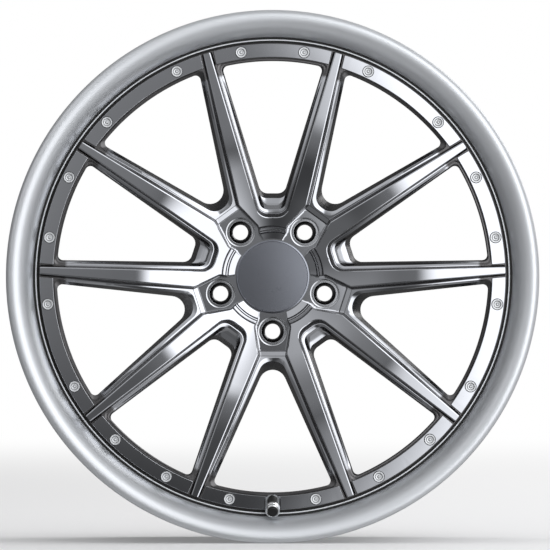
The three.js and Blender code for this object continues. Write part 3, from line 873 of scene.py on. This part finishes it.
def textured(name, dark, light, roughness, grain, metallic=1.0, lathe=False, relief=0.0, wander=9.0):
    """A surface whose colour and roughness wander a little, with a fine grain or turning marks."""
    material, sums, surface = shader(name)
    surface["Metallic"].default_value = metallic
    sums.put(surface["Base Color"], sums.mix(sums.grain(wander), linear(dark), linear(light)))
    marks = sums.lathe_lines(grain) if lathe else sums.grain(grain)
    sums.put(surface["Roughness"], sums.spread(marks, *roughness))
    if relief:
        bump = sums.nodes.new("ShaderNodeBump")
        bump.inputs["Strength"].default_value = relief
        bump.inputs["Distance"].default_value = 0.0002
        sums.put(bump.inputs["Height"], marks)
        sums.put(surface["Normal"], bump.outputs["Normal"])
    return material


def moulded(name, dark, light, roughness, grain=500, relief=0.1):
    """Rubber, plastic or sealant."""
    return textured(name, dark, light, roughness, grain, 0.0, False, relief, 60.0)


def centre_metal():
    """Polished faces, with painted shade on the walls and on the band's lower level, and a satin rear."""
    material, sums, surface = shader("polished_centre")
    surface["Metallic"].default_value = 1.0
    bright = sums.mix(sums.grain(9.0), linear((186, 188, 193)), linear((194, 196, 201)))
    facing = sums.facing()
    flat = sums.ramp(sums.math("ABSOLUTE", facing), 0.6, 0.9)
    x, y, z = sums.position()
    outer = sums.ramp(sums.radius(x, z), (WINDOW_R - 11) * MM, (WINDOW_R - 7) * MM)
    sunk = sums.ramp(y, (BAND_Y + 1.2) * MM, (BAND_Y + 2.2) * MM)
    shaded_band_floor = sums.times(outer, sunk)
    shown = sums.times(flat, sums.math("SUBTRACT", 1.0, shaded_band_floor))
    # the dark grey is painted shade, laid on the walls and on the band's lower level round the pads
    sums.put(surface["Base Color"], sums.mix(shown, linear((104, 103, 104)), bright))
    gloss = sums.spread(sums.grain(30.0), 0.035, 0.055)
    on_walls = sums.times(sums.math("SUBTRACT", 1.0, shown), 0.3)
    on_rear = sums.times(sums.ramp(facing, 0.1, 0.5), 0.38)
    sums.put(surface["Roughness"], sums.plus(gloss, sums.math("MAXIMUM", on_walls, on_rear)))
    return material


def recoloured(material, blend):
    """A material whose colour is what blend makes of it."""
    sums = Sums(material.node_tree)
    colour = material.node_tree.nodes["Principled BSDF"].inputs["Base Color"]
    sums.put(colour, blend(sums, colour.links[0].from_socket))
    return material


def paint_groove_shade(material, inner_r, outer_r, depth_y, tone):
    """Paints shade on what lies behind a depth between two radii."""

    def blend(sums, colour):
        x, y, z = sums.position()
        r = sums.radius(x, z)
        outside = sums.math("GREATER_THAN", r, inner_r * MM)
        within = sums.times(outside, sums.math("LESS_THAN", r, outer_r * MM))
        behind = sums.math("GREATER_THAN", y, depth_y * MM)
        return sums.mix(sums.times(within, behind), colour, grey(tone))

    return recoloured(material, blend)


def paint_wall_shade(material, tone, low=0.35, high=0.75):
    """Paints shade on what isn't turned towards the wheel's front or rear."""

    def blend(sums, colour):
        return sums.mix(sums.ramp(sums.math("ABSOLUTE", sums.facing()), low, high), grey(tone), colour)

    return recoloured(material, blend)


POLISHED = centre_metal()
SATIN_LIP = textured("turned_lip", (212, 215, 219), (220, 223, 227), (0.41, 0.45), 700, 0.8, True)
# painted shade in the lip's grooves and recess round the band's edge
paint_groove_shade(SATIN_LIP, 237.5, 244.7, -92.9, 60)
BARREL = textured("turned_barrel", (188, 190, 193), (198, 200, 203), (0.32, 0.42), 500, 1.0, True, 0.06)
STEEL = textured("zinc_plate", (158, 160, 163), (176, 177, 178), (0.32, 0.45), 1200)
BOLT = textured("satin_bolt", (208, 210, 213), (216, 218, 220), (0.38, 0.44), 1500, 0.7)
# painted shade on the bolt heads' sloping faces
paint_wall_shade(BOLT, 60, 0.5, 0.97)
SEAT = textured("machined_seat", (182, 184, 188), (192, 194, 198), (0.1, 0.14), 1500)
# painted shade on the seat rings' walls
paint_wall_shade(SEAT, 40)
CAP = textured("dark_cap", (130, 133, 141), (136, 139, 147), (0.17, 0.2), 1200)
CHROME = textured("valve_chrome", (228, 230, 232), (236, 238, 240), (0.03, 0.06), 1500)
BRASS = textured("valve_brass", (190, 160, 92), (204, 174, 106), (0.22, 0.32), 1500)
RUBBER = moulded("black_rubber", (16, 16, 16), (24, 24, 24), (0.5, 0.65))
BLACK = moulded("black_plastic", (10, 10, 10), (16, 16, 16), (0.32, 0.45))
SEALANT = moulded("grey_sealant", (150, 150, 146), (168, 168, 164), (0.5, 0.65), 300, 0.2)


def finish_piece(piece, material, body, slot, *nodes, degrees=32):
    """Gives a piece its material, its body and the solid it stands for. The slot is not used."""
    piece.data.materials.clear()
    piece.data.materials.append(material)
    for polygon in piece.data.polygons:
        polygon.material_index = 0
    smooth(piece, degrees)
    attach(piece, body)
    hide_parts(*nodes)
    return piece


# ---------- valve axis ----------
VALVE_LEAN = math.radians(28)
VALVE_BAND_R = 226.5
VALVE_STRAIGHT_R = 226.9
VALVE_WALL_Y = -52


# turns a piece made about Y onto the leaning stem: its +Y points forward and outward
STEM = Matrix.Translation((0, BAND_Y, -VALVE_BAND_R)) @ Matrix.Rotation(math.pi + VALVE_LEAN, 4, "X")
# turns a piece made about Y onto the radial line through the barrel's wall, its +Y away from the hub
WALL = Matrix.Translation((0, VALVE_WALL_Y, 0)) @ Matrix.Rotation(-math.pi / 2, 4, "X")

# ---------- the centre ----------
NOTCH_MIDDLE_R = 229.7
NOTCH_END_R = 250  # beyond the band
NOTCH_CORNER_R = 5.8
NOTCH_LEVELS = ((7.3, -70), (7.3, BAND_Y + 0.9), (8.2, BAND_Y - 0.05), (8.25, -120))  # half width, height


def notch_outline(half):
    """The valve's notch in the band, open outwards, as a closed plan."""
    inner = NOTCH_MIDDLE_R - half
    corners = [
        (complex(0, -inner), 0),
        (complex(-half, -inner), NOTCH_CORNER_R),
        (complex(-half, -NOTCH_END_R), 0),
        (complex(0, -NOTCH_END_R), 0),
    ]
    left = outline(corners, (2, 4, 2))
    return np.concatenate([left, -np.conj(left[-2:0:-1])])


disc = centre_disc()
cutter = closed_solid("notch_cutter", [(notch_outline(half), y) for half, y in NOTCH_LEVELS], capped=True)
carve(disc, cutter)
finish_piece(disc, POLISHED, "wheel", "centre_metal", "centre_disc")
dish_normals(disc, (0, LEDGE_DEPTH))

# ---------- the lip ----------
CREST_R = 265.3
CREST_REACH = 20.4


def quarter(centre_r, centre_y, reach_r, reach_y, start, end, steps):
    """Part of an ellipse in a section, by angle from straight forward."""
    angles = np.linspace(math.radians(start), math.radians(end), steps + 1)
    return [(centre_r + reach_r * math.sin(a), centre_y - reach_y * math.cos(a), 0) for a in angles]


lip_section = [
    (220.6, -83, 0.3), (241.6, -83, 0.5), (240.9, -93.3, 0.12), (242.1, -93.3, 0.12),
    (242.3, -91.6, 0), (242.9, -91.6, 0), (243.1, -92.7, 0), (243.5, -92.7, 0),
    (243.7, -91.6, 0), (244.2, -91.6, 0),
    *quarter(CREST_R, -95.5, CREST_REACH, -95.5 - front_y, -89, 0, 26),
    *quarter(CREST_R, front_y + 5.6, flange_r - CREST_R, 5.6, 9, 90, 9),
    (flange_r, -120.2, 1.2), (262, -114.3, 5), (254, -110, 4), (252.6, -94, 2), (254, -91, 2),
    (247, -77, 2), (220.6, -77, 0.3),
]
lip = turned("outer_lip_turned", profile(lip_section))
finish_piece(lip, SATIN_LIP, "wheel", "lip_metal", "outer_lip")

# ---------- the barrel ----------
barrel_section = [
    (220.6, -76.7, 0.3), (220.6, -71, 0.3), (238, -71, 3), (238, -38, 6), (227, -26, 8),
    (227, 6, 8), (243, 34, 14), (247, 90, 14), (253, 114, 5), (263, 125, 3),
    (267.5, rear_y, 2), (flange_r, 125.4, 2), (flange_r, 120.6, 1.5), (262, 114.3, 5),
    (254, 110, 4), (252.6, 94, 2), (254, 91, 2), (250, 84, 4), (248, 38, 14), (232, 9, 8),
    (232, -23, 8), (243, -36, 6), (243, -76.7, 0.3),
]
barrel = turned("inner_barrel_turned", profile(barrel_section), 240)
finish_piece(barrel, BARREL, "wheel", "barrel_metal", "inner_barrel")

seal_section = [(243.3, -76.6, 0.2), (246.7, -76.6, 0.6), (244.6, -75.0, 1.2), (243.3, -72.7, 0.5)]
seal = turned("joint_seal_bead", profile(seal_section), 180)
finish_piece(seal, SEALANT, "wheel", "sealant", "joint_seal")

# ---------- lug seats ----------
SEAT_SECTION = [
    (7.75, -50, 0.3), (7.75, -55.8, 0), (11.2, -62.4, 0.15), (11.4, -62.9, 0.15),
    (12.7, -62.9, 0.15), (12.9, -61.2, 0), (13.6, -61.2, 0), (13.8, -62.3, 0.1),
    (15.0, -62.7, 0.1), (15.0, -50, 0.3),
]


def around_hub(angle, radius):
    """A place turned clockwise by angle from the V axis straight up."""
    return Matrix.Rotation(angle, 4, "Y") @ Matrix.Translation((0, 0, radius))


for pair in range(PAIRS):
    place = around_hub(HALF + 2 * HALF * pair, LUG_CIRCLE_R)
    seat = turned(f"lug_seat_ring_{pair + 1}", profile(SEAT_SECTION), 64, place)
    finish_piece(seat, SEAT, "wheel", "seat_steel", f"lug_seat_{pair + 1}")

# ---------- hub cap ----------
cap_section = [
    (0, -72.2, 0), (9, -72.18, 0), (18, -72.12, 0), (27, -72.02, 0), (35.6, -71.9, 0),
    (35.8, -71.7, 0), (36.2, -71.95, 0.1), (37.6, -71.44, 0.1), (37.6, -69.0, 0.2),
    (32.2, -69.0, 0.3), (32.2, -53, 0.8), (29.8, -53, 0.3), (29.8, -69.4, 1.5), (0, -69.4, 0),
]
cap = turned("centre_cap_turned", profile(cap_section), 144)
finish_piece(cap, CAP, "cap", "cap_metal", "centre_cap")
WIRE_R = 0.9
round_angles = np.linspace(0, 2 * math.pi, 13)[:-1]
spring_section = [(28.5 + WIRE_R * math.cos(a), -60.1 + WIRE_R * math.sin(a)) for a in round_angles]
spring = turned("cap_spring_wire", spring_section, 96)
finish_piece(spring, STEEL, "cap", "steel", "cap_spring_ring")

# ---------- assembly bolts and nuts ----------
BOLT_SECTION = [
    (0, -97.0, 0), (0.9, -97.0, 0.2), (1.9, -96.2, 0.2), (3.1, -96.4, 0.2), (3.9, -97.3, 0.15),
    (5.3, -97.4, 0.2), (6.0, -96.3, 0.3), (6.0, -93.3, 0.2), (3.2, -93.3, 0.2),
    (3.2, -62.6, 0.5), (0, -62.6, 0),
]
NUT_FRONT_Y = -70.7
NUT_REAR_Y = -64
NUT_CORNER_R = 6.3
NUT_FACE_R = 5.4
NUT_TURNED_R = 5.6  # beyond this the corners are turned off
NUT_HOLE_R = 3.4
NUT_CUTS = 4  # of each side


def lip_nut(name, place):
    """A hexagon nut with its corners turned off at both ends, and a plain hole."""
    corners = [NUT_CORNER_R * cmath.exp(1j * math.pi * k / 3) for k in range(6)]
    outer = []
    for a, b in zip(corners, corners[1:] + corners[:1]):
        outer.extend(a + (b - a) * k / NUT_CUTS for k in range(NUT_CUTS))
    outer = np.array(outer)
    circle = outer / np.abs(outer)
    lift = np.maximum(np.abs(outer) - NUT_TURNED_R, 0) * 0.5
    rows = [
        (circle * NUT_HOLE_R, NUT_FRONT_Y), (circle * NUT_FACE_R, NUT_FRONT_Y),
        (outer, NUT_FRONT_Y + 0.5 + lift), (outer, NUT_REAR_Y - 0.5 - lift),
        (circle * NUT_FACE_R, NUT_REAR_Y), (circle * (NUT_HOLE_R + 0.3), NUT_REAR_Y),
        (circle * NUT_HOLE_R, NUT_REAR_Y - 0.3),
    ]
    return closed_solid(name, rows + rows[:1], place)


bolt_angles = []
for pair in range(PAIRS):
    axis = 2 * HALF * pair
    near, far = BOLT_ANGLES
    bolt_angles += [axis - near, axis + near, axis + far, axis + 2 * HALF - far]
for number, angle in enumerate(bolt_angles, 1):
    place = around_hub(angle, BOLT_CIRCLE_R)
    bolt = turned(f"assembly_bolt_{number:02d}", profile(BOLT_SECTION), 40, place)
    finish_piece(bolt, BOLT, "wheel", "bolt_metal", f"lip_bolt_{number:02d}")
    nut = lip_nut(f"assembly_nut_{number:02d}", place)
    finish_piece(nut, STEEL, "wheel", "steel", f"lip_nut_{number:02d}")

# ---------- valve ----------
STEM_R = 4
BEND_CUTS = 10


def stem_path():
    """The stem's centreline: in from the tyre's side, forward through the flanges, then leaning outward."""

    def at(r, y):
        return Vector((0, y, -r))

    def leaning(s):
        return at(VALVE_BAND_R + math.sin(VALVE_LEAN) * s, BAND_Y - math.cos(VALVE_LEAN) * s)

    def bend(start, corner, end):
        shares = [k / BEND_CUTS for k in range(1, BEND_CUTS + 1)]
        return [start * (1 - t) ** 2 + corner * 2 * t * (1 - t) + end * t**2 for t in shares]

    elbow, knee = 6.8, 4.6
    knee_at = (VALVE_STRAIGHT_R - VALVE_BAND_R) / math.sin(VALVE_LEAN)
    corner = leaning(knee_at)
    points = [at(246.0, VALVE_WALL_Y), at(VALVE_STRAIGHT_R + elbow, VALVE_WALL_Y)]
    turn_end = at(VALVE_STRAIGHT_R, VALVE_WALL_Y - elbow)
    points += bend(points[-1], at(VALVE_STRAIGHT_R, VALVE_WALL_Y), turn_end)
    points.append(at(VALVE_STRAIGHT_R, corner.y + knee))
    points += bend(points[-1], corner, leaning(knee_at + knee))
    points += [leaning(8.9), leaning(9.0), leaning(24)]
    return points


def tube(name, path, outer_r, inner_r, sides=32):
    """A thick tube along a path in the plane x = 0. inner_r gives the bore's radius at each point."""
    last = len(path) - 1
    tangents = [(path[min(k + 1, last)] - path[max(k - 1, 0)]).normalized() for k in range(len(path))]
    across = Vector((1, 0, 0))
    turns = on_circle(1, 0, 2 * math.pi, sides)[:-1]

    def row(k, radius):
        side = tangents[k].cross(across)
        ring = [path[k] + radius * (across * t.imag + side * t.real) for t in turns]
        return np.array([complex(p.x, p.z) for p in ring]), [p.y for p in ring]

    rows = [row(k, outer_r if 0 < k < last else outer_r - 0.3) for k in range(len(path))]
    rows += [row(k, inner_r(k)) for k in reversed(range(len(path)))]
    return closed_solid(name, rows + rows[:1])


centreline = stem_path()
stem_tube = tube("stem_tube", centreline, STEM_R, lambda k: 2.7 if k >= len(centreline) - 2 else 1.5)
HEAD_SECTION = [(1.6, 245.7, 0), (7.5, 245.7, 0.3), (7.5, 248.7, 0.8), (1.6, 248.7, 0)]
stem_head = turned("stem_head", profile(HEAD_SECTION), 48, WALL)
stem = joined("valve_stem_bent", [stem_tube, stem_head])
finish_piece(stem, CHROME, "wheel", "valve_chrome", "valve_stem")


def valve_piece(name, corners, material, body, slot, node, place=STEM, steps=64):
    """A finished turned piece on the stem, or on the line through the barrel's wall."""
    piece = turned(name, profile(corners), steps, place)
    return finish_piece(piece, material, body, slot, node)


valve_piece(
    "valve_seal_ring",
    [(4.3, 243.3, 0.2), (7.5, 243.3, 0.5), (7.5, 245.4, 0.5), (4.3, 245.4, 0.2)],
    RUBBER, "wheel", "rubber", "valve_seal", WALL,
)
valve_piece(
    "valve_wall_nut",
    [(4.3, 233.8, 0.2), (6, 233.8, 0.6), (6, 237.2, 0.3), (4.3, 237.2, 0.2)],
    STEEL, "wheel", "steel", "valve_nut", WALL, 6,
)
valve_piece(
    "valve_rubber_bush",
    [(4.3, 2.5, 0.2), (5.3, 2.5, 0.4), (5.3, 18.2, 0.4), (4.3, 18.2, 0.2)],
    RUBBER, "wheel", "rubber", "valve_bush",
)
valve_piece(
    "valve_bright_sleeve",
    [
        (4.3, 18.5, 0.2), (6.6, 18.5, 0.3), (7.4, 19.6, 0.5), (7.4, 22.2, 0.2), (6.9, 22.6, 0.1),
        (6.9, 23.2, 0.1), (7.4, 23.6, 0.2), (7.4, 26.0, 0.6), (6.6, 27.0, 0.3), (5.7, 27.0, 0.2),
        (5.7, 20.1, 0.1), (4.3, 20.1, 0.1),
    ],
    CHROME, "wheel", "valve_chrome", "valve_sleeve",
)
valve_piece(
    "valve_core_body",
    [
        (1.1, 10, 0.1), (2.35, 10, 0.2), (2.35, 21.5, 0.1),
        (2.0, 21.9, 0.1), (2.0, 23.2, 0.2), (1.1, 23.2, 0.1),
    ],
    BRASS, "wheel", "brass", "valve_core", STEM, 32,
)
valve_piece(
    "valve_core_pin",
    [(0, 13, 0), (0.75, 13, 0.1), (0.75, 23.2, 0.1), (0.6, 23.5, 0.15), (0.6, 23.8, 0.2), (0, 23.9, 0)],
    BRASS, "pin", "brass", "valve_pin", STEM, 24,
)


# the dust cap's grip: how many flutes, how deep, and where along the stem
FLUTES = 24
FLUTE_DEPTH = 0.18
FLUTE_START = 20.9
FLUTE_END = 26.9
FLUTE_INNER_R = 5.1


def dust_cap():
    """The dust cap: a plain crowned end, and grip flutes round its skirt."""
    sections = profile(
        [
            (4.3, 20.4, 0.1), (5.3, 20.4, 0.2), (5.3, 27.3, 0.3), (4.6, 28.3, 0.5),
            (0, 28.3, 0), (0, 25.5, 0), (4.3, 25.5, 0.2),
        ]
    )
    start = next(k for k, (r, _) in enumerate(sections) if r < ON_AXIS)
    sections = sections[start + 1 :] + sections[: start + 1]
    piece = turned("valve_dust_cap", sections, 96)
    for vertex in piece.data.vertices:
        r = math.hypot(vertex.co.x, vertex.co.z) / MM
        if r > FLUTE_INNER_R and FLUTE_START < vertex.co.y / MM < FLUTE_END:
            flute = FLUTE_DEPTH / 2 * (1 + math.cos(FLUTES * math.atan2(vertex.co.x, vertex.co.z)))
            vertex.co.x *= 1 - flute / r
            vertex.co.z *= 1 - flute / r
    metres = STEM.copy()
    metres.translation *= MM
    piece.data.transform(metres)
    return piece


finish_piece(dust_cap(), BLACK, "dust_cap", "black_plastic", "valve_cap", degrees=50)
valve_piece(
    "valve_cap_washer",
    [(0, 24.2, 0), (3.6, 24.2, 0.3), (3.6, 25.3, 0.3), (0, 25.3, 0)],
    RUBBER, "cap_washer", "rubber", "valve_cap_seal", STEM, 40,
)

# ---------- stage, camera and light ----------
scene = bpy.context.scene
DISTANCE = 9.3  # from the lip's front edge to the camera
FRAME_WIDTH = 0.5591  # what the view takes in, at the lip's front edge
camera_data = bpy.data.cameras.new("front_camera")
camera = placed_object("front_camera", camera_data)
scene.camera = camera
camera_data.sensor_width = 36
camera_data.lens = 36 * DISTANCE / FRAME_WIDTH
camera_data.shift_x = 0.0044
camera_data.shift_y = 0.0031
camera_data.clip_end = 100
camera.location = (0, cad_box[0][1] - DISTANCE, 0)
camera.rotation_euler = (math.pi / 2, 0, 0)


def plane(name, corners, material):
    """A flat four-sided sheet."""
    mesh = bpy.data.meshes.new(name)
    mesh.from_pydata(corners, [], [(0, 1, 2, 3)])
    mesh.materials.append(material)
    return placed_object(name, mesh)


floor_z = cad_box[0][2]
FLOOR_FAR_Y = 6.25
FLOOR_NEAR_Y = -6
FLOOR_HALF_WIDTH = 8
floor_material, sums, surface = shader("pale_floor")
surface["Roughness"].default_value = 0.6
surface["Base Color"].default_value = (0.86, 0.86, 0.87, 1)
x, y, z = sums.position()
# the floor glows, a painted light: it turns to a white glow towards its far edge, and nearer the wheel the
# glow is dimmer on the left, a painted shade
brightness = sums.ramp(y, 1.0, 5.8, sums.ramp(x, -0.6, 0.5, 0.76, 1.0), 1.0)
floor_glow = sums.nodes.new("ShaderNodeEmission")
sums.put(floor_glow.inputs["Strength"], brightness)
mix = sums.nodes.new("ShaderNodeMixShader")
sums.put(mix.inputs[0], sums.ramp(y, -2.0, FLOOR_FAR_Y))
sums.put(mix.inputs[1], sums.nodes["Principled BSDF"].outputs[0])
sums.put(mix.inputs[2], floor_glow.outputs[0])
sums.put(sums.nodes["Material Output"].inputs["Surface"], mix.outputs[0])
floor_edges = [(-1, FLOOR_NEAR_Y), (1, FLOOR_NEAR_Y), (1, FLOOR_FAR_Y), (-1, FLOOR_FAR_Y)]
floor_corners = [(side * FLOOR_HALF_WIDTH, reach, floor_z) for side, reach in floor_edges]
floor = plane("floor", floor_corners, floor_material)
floor.visible_glossy = False


def area_light(name, location, target, size, radiance, glossy=True):
    """A soft square light of a given brightness that the camera doesn't see."""
    data = bpy.data.lights.new(name, "AREA")
    data.shape = "RECTANGLE"
    data.size, data.size_y = size, size
    data.energy = radiance * math.pi * size * size
    lamp = placed_object(name, data)
    lamp.location = location
    aim = Vector(target) - Vector(location)
    lamp.rotation_euler = aim.to_track_quat("-Z", "Y").to_euler()
    lamp.visible_camera = False
    lamp.visible_glossy = glossy


# ---------- the studio's front wall ----------
WALL_DISTANCE = 2.0  # in front of the wheel's face
WALL_HALF_WIDTH = 4.0
WALL_HALF_HEIGHT = 3.0
CARD_CORNERS = ((-1, -1), (1, -1), (1, 1), (-1, 1))


def softbox_level(sums, x, up, down):
    """A broad softbox on the right. Its left edge leans out above and below, and is softer there."""
    reach = sums.math("MINIMUM", sums.math("MAXIMUM", up, down), 0.3)
    start = sums.plus(sums.times(reach, -0.25), 0.03)
    high_up = sums.math("MAXIMUM", sums.math("SUBTRACT", up, 0.2), 0.0)
    blur = sums.plus(sums.times(high_up, 0.6), sums.times(down, 0.8))
    edge = sums.plus(sums.plus(start, blur), 0.2)
    fades = (
        sums.ramp(x, 1.9, 2.6, 1.0, 0.35),
        sums.ramp(up, 1.2, 2.2, 1.0, 0.3),
        sums.ramp(down, 1.0, 1.6, 1.0, 0.3),
        1.85,
    )
    softbox = sums.ramp(x, start, edge)
    for fade in fades:
        softbox = sums.times(softbox, fade)
    return softbox


def studio_wall():
    """A graded card in front of the wheel, seen only in reflections: the softbox, and greys on the left."""
    material = bpy.data.materials.new("studio_wall")
    material.use_nodes = True
    sums = Sums(material.node_tree)
    sums.nodes.clear()
    x, _, z = sums.position()
    up = sums.math("MAXIMUM", z, 0.0)
    down = sums.math("MAXIMUM", sums.times(z, -1.0), 0.0)
    left = sums.math("MAXIMUM", sums.times(x, -1.0), 0.0)
    greys = sums.plus(sums.ramp(z, -0.3, 0.15, 0.08, 0.3), sums.ramp(z, 0.2, 1.0, 0.0, 0.35))
    greys = sums.plus(greys, sums.ramp(left, 0.1, 0.6, 0.0, 0.11))
    glow = sums.nodes.new("ShaderNodeEmission")
    glow.inputs["Color"].default_value = (0.985, 0.99, 1, 1)
    sums.put(glow.inputs["Strength"], sums.plus(softbox_level(sums, x, up, down), greys))
    output = sums.nodes.new("ShaderNodeOutputMaterial")
    sums.put(output.inputs["Surface"], glow.outputs[0])
    wall_y = cad_box[0][1] - WALL_DISTANCE
    corners = [(side * WALL_HALF_WIDTH, wall_y, rise * WALL_HALF_HEIGHT) for side, rise in CARD_CORNERS]
    card = plane("studio_front", corners, material)
    card.visible_camera = False
    card.visible_shadow = False


studio_wall()
area_light("top_light", (0.4, 0.8, 3.2), (0, 0.8, 0), 5, 1.32, glossy=False)
area_light("rear_light", (2.4, 2.6, 1.8), (0, 0, 0), 2.5, 1.6)
area_light("front_fill", (0, -5.0, 0.2), (0, 0, 0), 1.6, 14.0, glossy=False)

world = bpy.data.worlds.new("studio")
scene.world = world
world.use_nodes = True
sums = Sums(world.node_tree)
sums.nodes.clear()
output = sums.nodes.new("ShaderNodeOutputWorld")
seen = sums.nodes.new("ShaderNodeBackground")
seen.inputs["Color"].default_value = (1, 1, 1, 1)
around = sums.nodes.new("ShaderNodeBackground")
x, _, z = sums.parts("ShaderNodeTexCoord", "Generated")
brightness = sums.plus(sums.ramp(z, 0.4, 0.95, 0.15, 0.45), sums.ramp(x, 0.2, 0.95, 0.0, 0.4))
brightness = sums.plus(brightness, sums.ramp(z, -0.95, -0.4, 0.35, 0.0))
sums.put(around.inputs["Strength"], brightness)
mix = sums.nodes.new("ShaderNodeMixShader")
sums.put(mix.inputs[0], sums.nodes.new("ShaderNodeLightPath").outputs["Is Camera Ray"])
sums.put(mix.inputs[1], around.outputs[0])
sums.put(mix.inputs[2], seen.outputs[0])
sums.put(output.inputs["Surface"], mix.outputs[0])
scene.view_settings.view_transform = "Standard"
